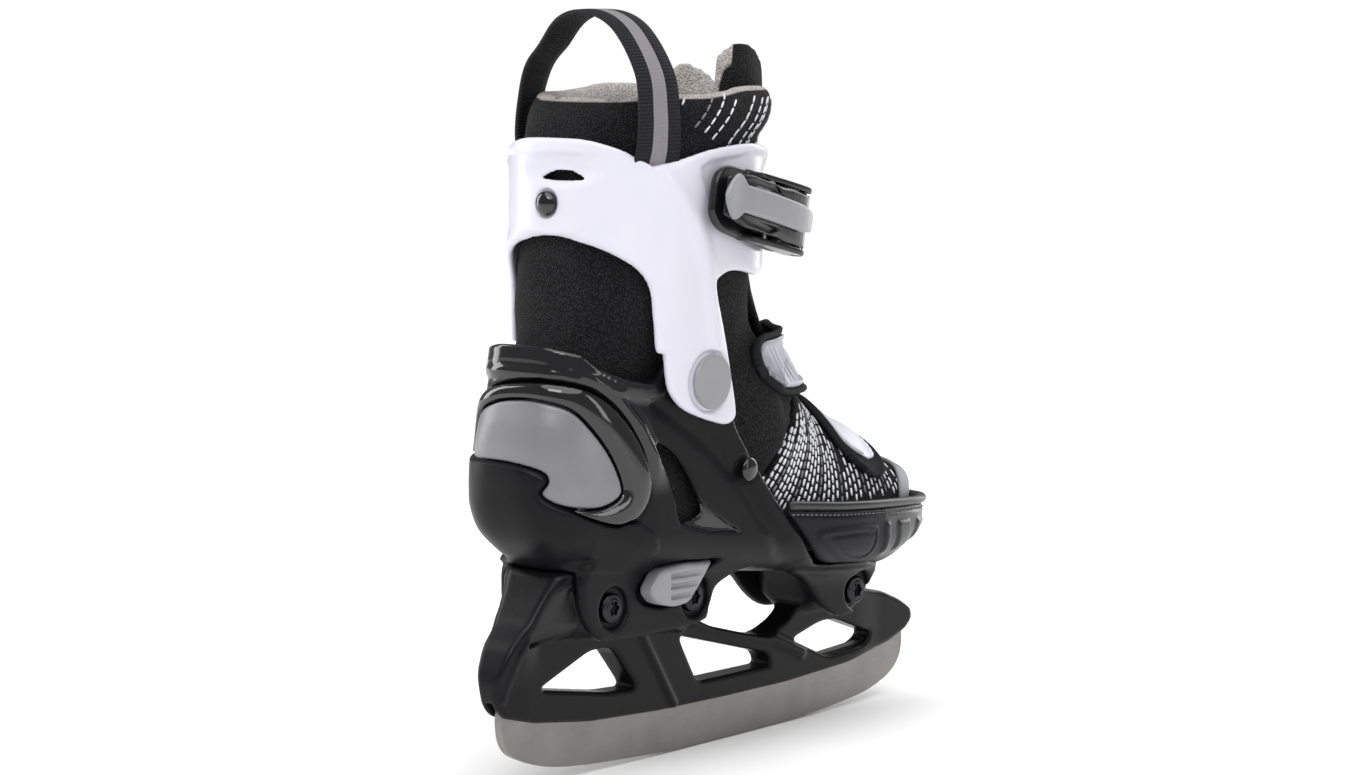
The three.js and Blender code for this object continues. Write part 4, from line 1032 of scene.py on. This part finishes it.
def boot_skin(grid, grow=0.0):
    """Distance from the soft boot's skin."""
    foot = foot_skin(grid, grow - UPPER_INSET) + heel_taper(grid.x, grid.z)
    instep = grid.distance(instep_reach(grid.x, grid.y, grid.z, grow))
    return smooth_max(foot, instep, 5)


def cuff_depth(x, y, z):
    """How deep points lie inside the cuff's skin, roughly, in mm."""
    along, across = cuff_section(x, y, z)
    return (1 - (along**2.4 + across**2.4) ** (1 / 2.4)) * 44


def split_distance(x, z, shift=0.0):
    """Distance forward of the line where the forefoot parts from the rear boot."""
    return (x - SPLIT_X - (z - 95) * SPLIT_LEAN - shift) / math.hypot(1, SPLIT_LEAN)


COLLAR_TOP = [(-104, 253), (-88, 257.5), (-68, 258), (-52, 258), (-38, 259.5), (-24, 261), (-10, 260),
              (0, 255.5), (6, 247), (9, 236), (8, 214), (8, 196)]
COLLAR_BELOW = [(60, 180), (60, 60), (-130, 60), (-130, 255)]  # closes the outline under that line


def apply_modifiers(obj):
    """Give the object the mesh that its modifiers make."""
    made = bpy.data.meshes.new_from_object(obj.evaluated_get(bpy.context.evaluated_depsgraph_get()))
    obj.modifiers.clear()
    obj.data = made
    return made


def padded_form(name, vertices, faces, voxel, pressure, cap, frames=20):
    """The form swollen by Cloth pressure. No point moves further than cap, which may vary."""
    scene = bpy.context.scene
    obj = bpy.data.objects.new(name, make_mesh(name, vertices, faces))
    scene.collection.objects.link(obj)
    remesh = obj.modifiers.new("remesh", "REMESH")
    remesh.mode = "VOXEL"
    remesh.voxel_size = voxel * MM
    bpy.context.view_layer.update()
    apply_modifiers(obj)
    start = points_of(obj)
    cloth = obj.modifiers.new("cloth", "CLOTH")
    cloth.settings.quality = 4
    cloth.settings.mass = 0.2
    cloth.settings.tension_stiffness = 12
    cloth.settings.compression_stiffness = 12
    cloth.settings.bending_stiffness = 0.4
    cloth.settings.use_pressure = True
    cloth.settings.uniform_pressure_force = pressure
    cloth.settings.effector_weights.gravity = 0
    cloth.point_cache.frame_start = 1
    cloth.point_cache.frame_end = frames
    for step in range(1, frames + 1):
        scene.frame_set(step)
    swollen = apply_modifiers(obj)
    move = points_of(obj) - start
    far = np.linalg.norm(move, axis=1)
    limit = cap(start) if callable(cap) else np.full(len(start), float(cap))
    move *= np.minimum(1, limit / np.maximum(far, 1e-6))[:, None]
    swollen.vertices.foreach_set("co", ((start + move) * MM).astype(np.float32).ravel())
    swollen.update()
    divide = obj.modifiers.new("subdivide", "SUBSURF")
    divide.levels = 1
    divide.render_levels = 1
    bpy.context.view_layer.update()
    made = apply_modifiers(obj)
    result = points_of(obj).copy()
    polygons = [tuple(p.vertices) for p in made.polygons]
    bpy.data.objects.remove(obj)
    scene.frame_set(1)
    return result, polygons


def make_boot_upper():
    """Ankle, heel and collar: one padded form from inside the shell to the rolled top edge."""
    grid = Grid((-112, -44, 76), (48, 44, 268), 1.1)
    x, y, z = grid.x, grid.y, grid.z
    boot = boot_skin(grid)
    collar_out = cuff_skin(grid, COLLAR_INSET)
    rising = ease((z - 148) / 30)
    outer = boot * (1 - rising) + collar_out * rising
    bulge = 1.8 * ease((z - 240) / 8)
    lean = 0.045 * np.clip(z - 243, 0, None) ** 2 * ease((-66 - x) / 22)
    bulge = bulge - lean
    depth = 5.4 + (COLLAR_PAD - 5.4) * rising
    outline = np.concatenate([smooth_line(COLLAR_TOP, 4, False), COLLAR_BELOW])
    top = outline_distance(outline, x, z)
    band = smooth_max(outer - bulge, -(outer + depth), 2.5)
    band = smooth_max(band, top, 6.5)
    band = smooth_max(band, split_distance(x, z), 1.5)
    throat = smooth_max(np.abs(y) - 13, np.maximum(-22 - x, 176 - z), 4)
    band = smooth_max(band, -throat, 4)
    vertices, faces = surface(grid, band)

    def cap(points):
        free = ease((points[:, 2] - 238) / 8)
        height = points[:, 2]
        window = ease((-80 - points[:, 0]) / 8) * ease((height - 160) / 8) * ease((202 - height) / 8)
        return 0.5 + 2.0 * free + 0.9 * window

    vertices, faces = padded_form("upper_form", vertices, faces, 3.6, 4.0, cap)
    upper = add_piece("boot_upper", vertices, faces, UPPER_FABRIC, None,
                      ["foot_upper", "ankle_collar"])
    vx, vy, vz = vertices.T
    inside = np.minimum(cuff_depth(vx, vy, vz) - COLLAR_INSET - 4.5, vz - 225)
    places = np.arange(-106, 12, 4.0)
    crests = [vz[np.abs(vx - place) < 4].max() for place in places]
    lip = np.minimum(vz - np.interp(vx, places, crests) + LINING_LIP, 4 - vx)
    set_attribute(upper, "lining", np.maximum(inside, lip))
    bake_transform(upper)
    return upper


def make_forefoot():
    grid = Grid((-52, -42, 72), (108, 45, 168), 1.0)
    x, y, z = grid.x, grid.y, grid.z
    outer = boot_skin(grid)
    inner = boot_skin(grid, -5.5)
    band = smooth_max(outer, -inner, 2)
    band = smooth_max(band, -split_distance(x, z, -1.5), 1.5)
    band = smooth_max(band, 74 - z, 1.5)
    vertices, faces = surface(grid, band)
    vertices, faces = padded_form("forefoot_form", vertices, faces, 3.6, 3.0, 0.6)
    knit = add_piece("forefoot_knit", vertices, faces, KNIT, None, ["forefoot_upper"])
    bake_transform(knit)
    patch_grid = Grid((70, -44, 86), (109, 46, 114), 0.7)
    skin = boot_skin(patch_grid)
    patch = smooth_max(np.abs(skin - 0.5) - 0.9, 93 - 0.014 * patch_grid.y**2 - patch_grid.x, 1)
    vertices, faces = surface(patch_grid, smooth_max(patch, 88 - patch_grid.z, 1))
    add_piece("toe_tip_patch", vertices, faces, PATCH_GREY, "toe", ["toe_patch"])
    return knit


TONGUE_PATH = [(27, 149), (18.5, 160), (12.5, 171), (8, 183), (5.5, 197), (5.5, 212), (7.5, 230),
               (10.5, 246), (14, 262)]
# how high the tongue's top edge stands, by angle round the leg from the outer edge to the inner one
TONGUE_CREST = [(-130, 266), (-120, 271.5), (-104, 274.5), (-84, 273), (-62, 268), (-40, 262), (-15, 257),
                (20, 257),
                (42, 264), (56, 266), (68, 264), (80, 258)]


def make_tongue():
    """A padded tongue, curved round the shin, its lining towards the leg."""
    path = smooth_line(TONGUE_PATH, 6, closed=False)
    rows, columns = len(path), 41
    crest = np.array(TONGUE_CREST, float)
    vertices = []
    for layer in (1, -1):
        for i, (px, pz) in enumerate(path):
            share = i / (rows - 1)
            rise = float(ease((pz - 185) / 55))
            outer, inner = -60 - 66 * rise, 60 + 16 * rise
            radius = 17 + 7 * rise
            for j in range(columns):
                turn = outer + (inner - outer) * j / (columns - 1)
                across = 2 * j / (columns - 1) - 1
                top = float(np.interp(turn, crest[:, 0], crest[:, 1])) - 262
                thick = 2.2 + 1.6 * rise * float(ease((-60 - turn) / 30))
                soft = (1 - abs(across) ** 7) ** 0.5 * float(ease(share * 8) * ease((1 - share) * 9))
                pad = 1.4 + (thick - 0.9) * soft
                reach = radius - 1 + layer * pad
                angle = math.radians(turn)
                vertices.append((px - radius + reach * math.cos(angle), reach * math.sin(angle),
                                 pz + top * share**4))
    faces = []
    count = rows * columns
    for i in range(rows - 1):
        for j in range(columns - 1):
            a = i * columns + j
            faces.append((a, a + 1, a + columns + 1, a + columns))
            faces.append((count + a + 1, count + a, count + a + columns, count + a + columns + 1))
    edge = list(range(columns)) + [i * columns + columns - 1 for i in range(1, rows)]
    edge += [(rows - 1) * columns + j for j in range(columns - 2, -1, -1)]
    edge += [i * columns for i in range(rows - 2, 0, -1)]
    for a, b in zip(edge, edge[1:] + edge[:1]):
        faces.append((b, a, count + a, count + b))
    vertices, faces = padded_form("tongue_form", vertices, faces, 2.1, 4.0, 0.9)
    vertices = np.asarray(vertices, float)
    tongue = add_piece("padded_tongue", vertices, faces, UPPER_FABRIC, None,
                       ["tongue", "tongue_top"])
    vx, vy, vz = vertices.T
    centre = np.interp(vz, path[:, 1], path[:, 0])
    radius = 17 + 7 * ease((vz - 185) / 55)
    turn = np.degrees(np.arctan2(vy, vx - centre + radius))
    edge = 3.2 * ease((-107 - turn) / 8) * ease((vz - 235) / 10)
    depth = radius - 0.6 + edge - np.sqrt((vx - centre + radius) ** 2 + vy**2)
    set_attribute(tongue, "lining", np.minimum(depth, (vz - 218) / 4))
    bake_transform(tongue)


# ---- dashes knitted into the cloth ----
def dashes(name, lines, base, away, material, length, gap, width, lift=0.35):
    """Raised stitches along lines that are cast onto a piece from one side."""
    tree = BVHTree.FromObject(base, bpy.context.evaluated_depsgraph_get())
    direction = Vector(away)
    vertices, faces = [], []
    for line in lines:
        line = smooth_line(line, 10, closed=False)
        run = run_of(line)
        for start in np.arange(0, run[-1] - length, length + gap):
            ring = []
            for share in (0, 0.5, 1):
                at = start + share * length
                point = Vector(point_at(at, run, line) * MM)
                hit, normal, _, _ = tree.ray_cast(point - direction * 0.1, direction)
                if hit is None:
                    break
                ring.append((np.array(hit) / MM, np.array(normal)))
            if len(ring) < 3:
                continue
            ahead = ring[2][0] - ring[0][0]
            if np.linalg.norm(ahead) > length * 2.2:
                continue
            ahead /= np.linalg.norm(ahead)
            first = len(vertices)
            for (point, normal), swell in zip(ring, (0.72, 1, 0.72)):
                side = np.cross(normal, ahead)
                for across, up in ((-1, -0.3), (-0.7, 0.7), (0, 1), (0.7, 0.7), (1, -0.3)):
                    vertices.append(point + side * across * width / 2 * swell + normal * lift * up)
            for r in range(2):
                for c in range(4):
                    a = first + r * 5 + c
                    faces.append((a, a + 1, a + 6, a + 5))
            faces.append(tuple(first + k for k in (4, 3, 2, 1, 0)))
            faces.append(tuple(first + 10 + k for k in range(5)))
            for r in range(2):
                faces.append((first + r * 5 + 4, first + r * 5, first + r * 5 + 5, first + r * 5 + 9))
    piece = add_piece(name, vertices, faces, material)
    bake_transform(piece)


def make_dashes(upper, forefoot):
    for side, sign in (("lateral", -1), ("medial", 1)):
        white, grey = [], []
        for i in range(33):
            foot_x = -24 + 3.4 * i
            lean = 1.24 - 0.05 * i
            low = 93.4 - 0.06 * i
            crest = np.interp(foot_x + lean * 30, [0, 14, 36, 50, 90], [128, 131, 134, 117, 100])
            crest -= (0, 8, 3, 12)[i % 4]
            points = []
            for k in range(4):
                z = low + (crest - low) * k / 3 + 1.3 * ((i * 7) % 3)
                points.append((foot_x + lean * (z - low), sign * 60, z))
            (grey if i % 5 == 3 else white).append(points)
        away = (0, -sign, 0)
        dashes(f"knit_dashes_{side}", white, forefoot, away, DASH_THREAD, 2.9, 1.0, 1.3)
        dashes(f"knit_grey_dashes_{side}", grey, forefoot, away, GREY_THREAD, 3.1, 1.1, 1.0)
        white, grey = [], []
        for i in range(16):
            foot_x = -64 + 4.6 * i
            foot_z = max(233, 249 - 4.0 * i) + 2.5 * math.cos(i * 2.4)
            rise = 255.5 - foot_z
            reach = rise * (0.95 - 0.02 * i)
            points = [(foot_x + reach * s, sign * 60, foot_z + rise * s) for s in (0, 0.33, 0.67, 1)]
            (grey if i % 4 == 1 else white).append(points)
        dashes(f"collar_dashes_{side}", white, upper, away, DASH_THREAD, 3.0, 1.0, 1.0)
        dashes(f"collar_grey_dashes_{side}", grey, upper, away, GREY_THREAD, 3.0, 1.0, 1.0)


# ---- webbing and straps ----
LOOP_PATH = [(-76, -32.6, 226), (-76.6, -34.6, 232), (-77, -36, 237.4), (-78, -37, 249), (-78, -34.5, 264),
             (-76, -21, 280), (-73, -3, 285.4),
             (-70, 15, 281), (-67, 31, 266), (-65, 38.5, 250), (-65, 40.5, 237.4), (-65, 38.6, 232),
             (-65, 36.6, 226)]
LOOP_TURN = 30


def make_pull_loop():
    path = smooth_line(LOOP_PATH, 8, closed=False)
    count = len(path)
    turn = -np.radians(LOOP_TURN) * (1 - 2 * np.arange(count) / (count - 1))
    level = np.column_stack([np.cos(turn), np.sin(turn), np.zeros(count)])
    section = [(a * 9, b) for a, b in ((-1, 0), (-0.97, -0.8), (-0.5, -1.0), (0, -1.0), (0.5, -1.0),
                                       (0.97, -0.8),
                                          (1, 0), (0.97, 0.8), (0.5, 1.0), (0, 1.0), (-0.5, 1.0),
                                       (-0.97, 0.8))]
    run = run_of(path)
    kink = 2.2 * np.exp(-((run - 0.66 * run[-1]) / 9) ** 2)
    path[:, 2] -= kink
    vertices, faces = sweep(path, section, level)
    loop = add_piece("pull_webbing", vertices, faces, LOOP_TAPE, "cuff", ["pull_loop"])
    lay = [(run[i], a, b) for i in range(count) for a, b in section]
    set_attribute(loop, "lay", lay)


RIDGE_LINE = smooth_line([(x, 0, z) for x, z in RIDGE[1:]], 12, closed=False)
OVER_TONGUE = 2.6
STRAPS = {
    "instep": {"along": lambda s: 44, "width": lambda s: 21 + 10 * s, "from": 28, "to": 132, "fall": (-80, 0),
               "tip": 20, "scale": 1.22, "leaf": 3, "leaf_scale": 0.92, "ridges": 0.45,
               "seat": lambda a: 0.5 + OVER_TONGUE * float(ease((50 - abs(a - 90)) / 16))},
    "toe": {"along": lambda s: 74 + 8 * s, "width": lambda s: 17 + 14 * s, "from": 34, "to": 132,
            "fall": (0, -46),
            "tip": 15, "scale": 1.14, "leaf": 9, "leaf_scale": 0.7, "ridges": 0.12,
            "seat": lambda a: 0.8}}
RIDGE_RUN = run_of(RIDGE_LINE)


def ridge_point(along):
    return point_at(along, RIDGE_RUN, RIDGE_LINE)


def boot_half(x, z):
    """Half the soft boot's width at a point of its side view."""
    wide = float(widening(x))
    sole = float(sole_height(x))
    ridge = float(np.interp(x, RIDGE_CURVE[:, 0], RIDGE_CURVE[:, 1]))
    rise = min(1.0, max(0.0, (z - sole - 16) / (ridge - sole - 16)))
    power = float(instep_power(x))
    return min(28.4 + wide, (29.5 + wide) * (1 - rise**power) ** (1 / power))


def strap_point(strap, along, angle, out):
    """A point of a strap: along the instep's ridge, round from the inner side, out from the boot."""
    ridge = ridge_point(along)
    slope = ridge_point(along + 1) - ridge_point(along - 1)
    slope /= np.linalg.norm(slope)
    c, s = math.cos(math.radians(angle)), math.sin(math.radians(angle))
    x = ridge[0] + strap["fall"][0] * (1 - s)
    z = ridge[2] + strap["fall"][1] * (1 - s)
    y = float(medial_shift(x)) + math.copysign(boot_half(x, z) + out * abs(c), c)
    return np.array([x - slope[2] * out * s, y, z + slope[0] * out * s])


def strap_form(strap, start, end, near, far, scale, steps, wave=0.0, round_from=0.7):
    """A strap between two angles, with raised rounded edges and a rounded end."""
    section = [(-1, 0.5), (-0.98, 0.0), (-0.9, 0.0), (0, 0.1), (0.9, 0.0), (0.98, 0.0), (1, 0.5), (0.98, 1.1),
               (0.92, 1.25), (0.85, 1.1), (0.8, 0.7), (0, 0.78), (-0.8, 0.7), (-0.85, 1.1), (-0.92, 1.25),
               (-0.98, 1.1)]
    vertices, lay = [], []
    run = 0.0
    last = None
    for i in range(steps + 1):
        share = i / steps
        angle = start + (end - start) * share
        whole = min(1.0, (angle - strap["from"]) / (strap["to"] - strap["from"]))
        along = strap["along"](whole)
        half = strap["width"](whole) / 2 * scale * (1 + wave * math.sin(angle * 0.13))
        low_tip = max(0.0, (share - round_from) / (1 - round_from))
        high_tip = max(0.0, (share - 0.87) / 0.13)
        low_half = half * math.sqrt(max(1 - low_tip**2.4, 0.03))
        high_half = half * math.sqrt(max(1 - high_tip**2.4, 0.03))
        seat = strap["seat"](angle)
        middle = strap_point(strap, along, angle, seat)
        run += 0 if last is None else float(np.linalg.norm(middle - last))
        last = middle
        for across, up in section:
            side = across * (low_half if across > 0 else high_half)
            vertices.append(strap_point(strap, along + side, angle, seat + near + (far - near) * up))
            lay.append((run, side, up))
    return np.array(vertices), tube_faces(steps + 1, len(section)), np.array(lay)


def make_straps():
    for name, leaf_material in (("instep", LEAF_SILVER), ("toe", LEAF_WHITE)):
        strap = STRAPS[name]
        vertices, faces, lay = strap_form(strap, strap["from"], strap["to"] + strap["tip"], 0, 2.4,
                                          strap["scale"], 90, wave=0.05)
        piece = add_piece(f"{name}_webbing", vertices, faces, STRAP_TAPE, f"{name}_strap",
                          [f"{name}_strap"])
        set_attribute(piece, "lay", lay)
        start, end = strap["to"] - 40, strap["to"] + strap["tip"] - strap["leaf"]
        vertices, faces, lay = strap_form(strap, start, end, 1.5, 2.9, strap["leaf_scale"], 160,
                                          round_from=0.45)
        inner, _, _ = strap_form(strap, start, end, 0.5, 1.9, strap["leaf_scale"], 160, round_from=0.45)
        out = unit(vertices - inner)
        flat = (np.abs(lay[:, 1]) < 0.62 * strap["width"](1) / 2) & (lay[:, 2] > 0.6)
        ridges = strap["ridges"] * np.cos(2.2 * (lay[:, 0] * 0.9 - 0.45 * lay[:, 1])) * flat
        add_piece(f"{name}_leaf", vertices + out * ridges[:, None], faces, leaf_material, f"{name}_strap",
                  [f"{name}_strap_tip"])


# ---- buckle ----
def on_cuff(points):
    """From the buckle's own frame (x forward, y outward as -y, z up) to the model's."""
    yaw, pitch = math.radians(BUCKLE["yaw"]), math.radians(BUCKLE["pitch"])
    turn = np.array(Matrix.Rotation(yaw, 3, "Z") @ Matrix.Rotation(pitch, 3, "Y"))
    return np.asarray(points) @ turn.T + np.array(BUCKLE["place"])


def buckle_piece(name, grid, field, material, body, replaces):
    vertices, faces = surface(grid, field)
    return add_piece(name, on_cuff(vertices), faces, material, body, replaces)


def make_buckle():
    grid = Grid((-4, -13, -15), (60, 5, 15), 0.42)
    x, y, z = grid.x, grid.y, grid.z
    pin = from_point(x, y, BUCKLE_PIN)
    floor_side = [(0, 0), (0, 3.2), (24, 1.6), (48, 1.6), (51, 0.6), (51, -0.4), (4, -0.4)]
    floor = outline_distance(rounded(floor_side, 1), x, y)
    plan = outline_distance(rounded([(2, -8), (9, -12.5), (20, -13), (50, -13), (52, 0), (50, 13), (20, 13),
                                     (9, 12.5), (2, 8)], 6), x, z)
    base = smooth_max(floor, plan, 1)
    cheek_side = [(20, 0.6), (56, 0.6), (57.5, -6), (55, -9.2), (50, -9.4), (40, -8), (26, -5)]
    cheek = outline_distance(rounded(cheek_side, 3), x, y)
    cheeks = smooth_max(cheek, np.abs(np.abs(z) - 11.9) - 1.15, 0.8)
    body = smooth_min(base, cheeks, 1.6)
    body = smooth_max(body, -(pin - BUCKLE_PIN[2] - 0.3), 0.4)
    buckle_piece("buckle_frame", grid, body, BUCKLE_BLACK, "cuff", ["buckle_base"])
    profile = outline_distance(smooth_line([(3, -3.4), (6, -6.2), (22, -8.6), (42, -9.3), (53, -8.6),
                                            (56.6, -7.0),
                                            (56.3, -4.8), (53.8, -3.7), (51.4, -4.8), (49, -6.6), (36, -6.6),
                                            (18, -6.0), (8, -4.2)], 3), x, y)
    wing = 9.9 - 2.4 * ease((16 - x) / 14) + 0.8 * ease((x - 34) / 10) - 0.15 * np.clip(-y - 6.5, 0,
                                                                                        None) ** 2
    lever = smooth_max(profile, np.abs(z) - wing, 1.2)
    facet = outline_distance(rounded([(10, 6.2), (34, 6.4), (30, 9), (14, 8.4)], 1), x, np.abs(z))
    lever = smooth_max(lever, -smooth_max(facet, y + 7.6, 0.5), 0.8)
    lever = smooth_max(lever, -(pin - BUCKLE_PIN[2] - 0.3), 0.4)
    buckle_piece("lever_moulding", grid, lever, BUCKLE_BLACK, "lever", ["buckle_lever"])
    bar = outline_distance(smooth_line([(1.4, -4.6), (5, -6.6), (12, -7.8), (30, -9.3), (44, -9.6),
                                        (53, -9), (56.6, -7.4),
                                        (57.4, -8.6), (54, -10.8), (42, -12.2), (24, -11.8), (10, -9.8),
                                        (3, -7.4),
                                        (0.6, -5.4)], 3), x, y)
    half = 5.2 + 3.6 * ease((10 - x) / 5) - 1.4 * ease((x - 47) / 10) - 0.5 * np.clip(5 - x, 0, None) ** 2
    cover = smooth_max(bar, np.abs(z) - half, 1.4)
    buckle_piece("lever_grey_bar", grid, cover, LIGHT_GREY, "lever", ["lever_cover"])


def make_ratchet_strap():
    path = smooth_line([(-36, 46.4, 214.5), (-24, 44.5, 213.5), (-11, 39.5, 211.5), (1, 30.5, 209.5),
                        (8.5, 17, 207),
                        (11, 0, 204.5), (9.5, -20, 203.3), (3, -37.4, 204), (-7.8, -42.9, 206.4),
                        (-21, -44.7, 209.8), (-34.7, -46.3, 213.2)], 30, closed=False)
    run = run_of(path)
    even = np.arange(0, run[-1], 0.42)
    path = point_at(even, run, path)
    tooth = 0.75 * ((even / 2.5) % 1) * ease((even - 40) / 4)
    section = [(-8, 0), (-7.6, -1.1), (7.6, -1.1), (8, 0), (7.6, 1.1), (6.2, 1.1), (5.8, 1.1), (-5.8, 1.1),
               (-6.2, 1.1), (-7.6, 1.1)]
    vertices, faces = sweep(path, section)
    vertices = vertices.reshape(len(path), len(section), 3)
    ahead = unit(np.gradient(path, axis=0))
    out = unit(np.cross(ahead, vertices[:, 3] - vertices[:, 0]))
    for k in (6, 7):
        vertices[:, k] += out * tooth[:, None]
    add_piece("ratchet_band", vertices.reshape(-1, 3), faces, BUCKLE_BLACK, "cuff",
              ["ratchet_strap"])


# ---- the small metal parts keep the frame's shape ----
def finish_small_parts():
    finishes = {"buckle_pin": CHROME, "pawl_pin": CHROME, "pawl_spring": CHROME, "buckle_rivet": BUCKLE_BLACK,
                "buckle_pawl": BUCKLE_BLACK, "button_spring": STEEL, "strap_anchor": BUCKLE_BLACK,
                "slide_plate": TOE_RUBBER_SMOOTH, "footbed": FOOTBED_GREY,
                "pivot_rivet_lateral": STEEL, "pivot_rivet_medial": STEEL}
    for name, material in finishes.items():
        if name in NODES:
            place = NODES[name].material_slots[0]
            place.link = "OBJECT"
            place.material = material


# ---- camera, floor and light ----
ROOM_LIGHT = 0.32  # the studio's own light; the backdrop behind is white
SOFTBOXES = (("rim_left", (-0.55, 1.35, 0.6), (0.5, 1.2), 9.0),
             ("rim_right", (1.4, 0.0, 0.6), (0.4, 1.2), 6.0),
             ("high", (-1.35, -0.35, 1.35), (0.9, 0.45), 7.0), ("front", (0.35, -1.5, 0.7), (0.25, 1.1), 3.0))
CAMERA_DISTANCE = 1.3


def make_stage():
    scene = bpy.context.scene
    scene.view_settings.view_transform = "Standard"
    target = Vector((-0.025, 0, 0.1415))
    azimuth, elevation = math.radians(-50), math.radians(6.5)
    back = Vector((math.sin(azimuth) * math.cos(elevation), -math.cos(azimuth) * math.cos(elevation),
                   math.sin(elevation)))
    camera = bpy.data.objects.new("camera", bpy.data.cameras.new("camera"))
    camera.location = target + back * CAMERA_DISTANCE
    camera.rotation_mode = "QUATERNION"
    camera.rotation_quaternion = (-back).to_track_quat("-Z", "Y")
    camera.data.lens = 90.13
    camera.data.sensor_width = 36
    scene.collection.objects.link(camera)
    scene.camera = camera
    floor_mesh = bpy.data.meshes.new("floor")
    floor_mesh.from_pydata([(-4, -4, 0), (4, -4, 0), (4, 4, 0), (-4, 4, 0)], [], [(0, 1, 2, 3)])
    floor = bpy.data.objects.new("floor", floor_mesh)
    floor.location.z = -0.0005
    scene.collection.objects.link(floor)
    pale = Finish("floor_pale", (0.96, 0.96, 0.96), 0.6, Specular_IOR_Level=0.1)
    pale.roughness(pale.span(pale.noise(90), 0.5, 0.7))
    floor_mesh.materials.append(pale.material)
    world = bpy.data.worlds.new("studio")
    world.use_nodes = True
    tree = world.node_tree
    backdrop = tree.nodes["Background"]
    backdrop.inputs["Color"].default_value = (1, 1, 1, 1)
    ray = tree.nodes.new("ShaderNodeLightPath")
    level = tree.nodes.new("ShaderNodeMapRange")
    level.inputs["To Min"].default_value = ROOM_LIGHT
    level.inputs["To Max"].default_value = 1.0
    tree.links.new(ray.outputs["Is Camera Ray"], level.inputs["Value"])
    tree.links.new(level.outputs["Result"], backdrop.inputs["Strength"])
    scene.world = world
    sky = bpy.data.lights.new("overhead", "SUN")
    sky.energy = 2.7
    sky.angle = math.radians(75)
    sky_object = bpy.data.objects.new("overhead", sky)
    sky_object.rotation_euler = (math.radians(12), math.radians(-14), 0)
    scene.collection.objects.link(sky_object)
    for name, place, size, power in SOFTBOXES:
        data = bpy.data.lights.new(name, "AREA")
        data.shape = "RECTANGLE"
        data.size, data.size_y = size
        data.energy = power
        light = bpy.data.objects.new(name, data)
        light.location = place
        light.rotation_mode = "QUATERNION"
        light.rotation_quaternion = (target - Vector(place)).to_track_quat("-Z", "Y")
        scene.collection.objects.link(light)


make_stage()
make_shell()
make_heel_insert_and_ring()
make_toe_cap()
make_toe_rim()
make_cuff()
make_holder()
make_blade()
make_fasteners()
make_button()
finish_small_parts()
upper = make_boot_upper()
forefoot = make_forefoot()
make_tongue()
make_dashes(upper, forefoot)
make_pull_loop()
make_straps()
make_buckle()
make_ratchet_strap()
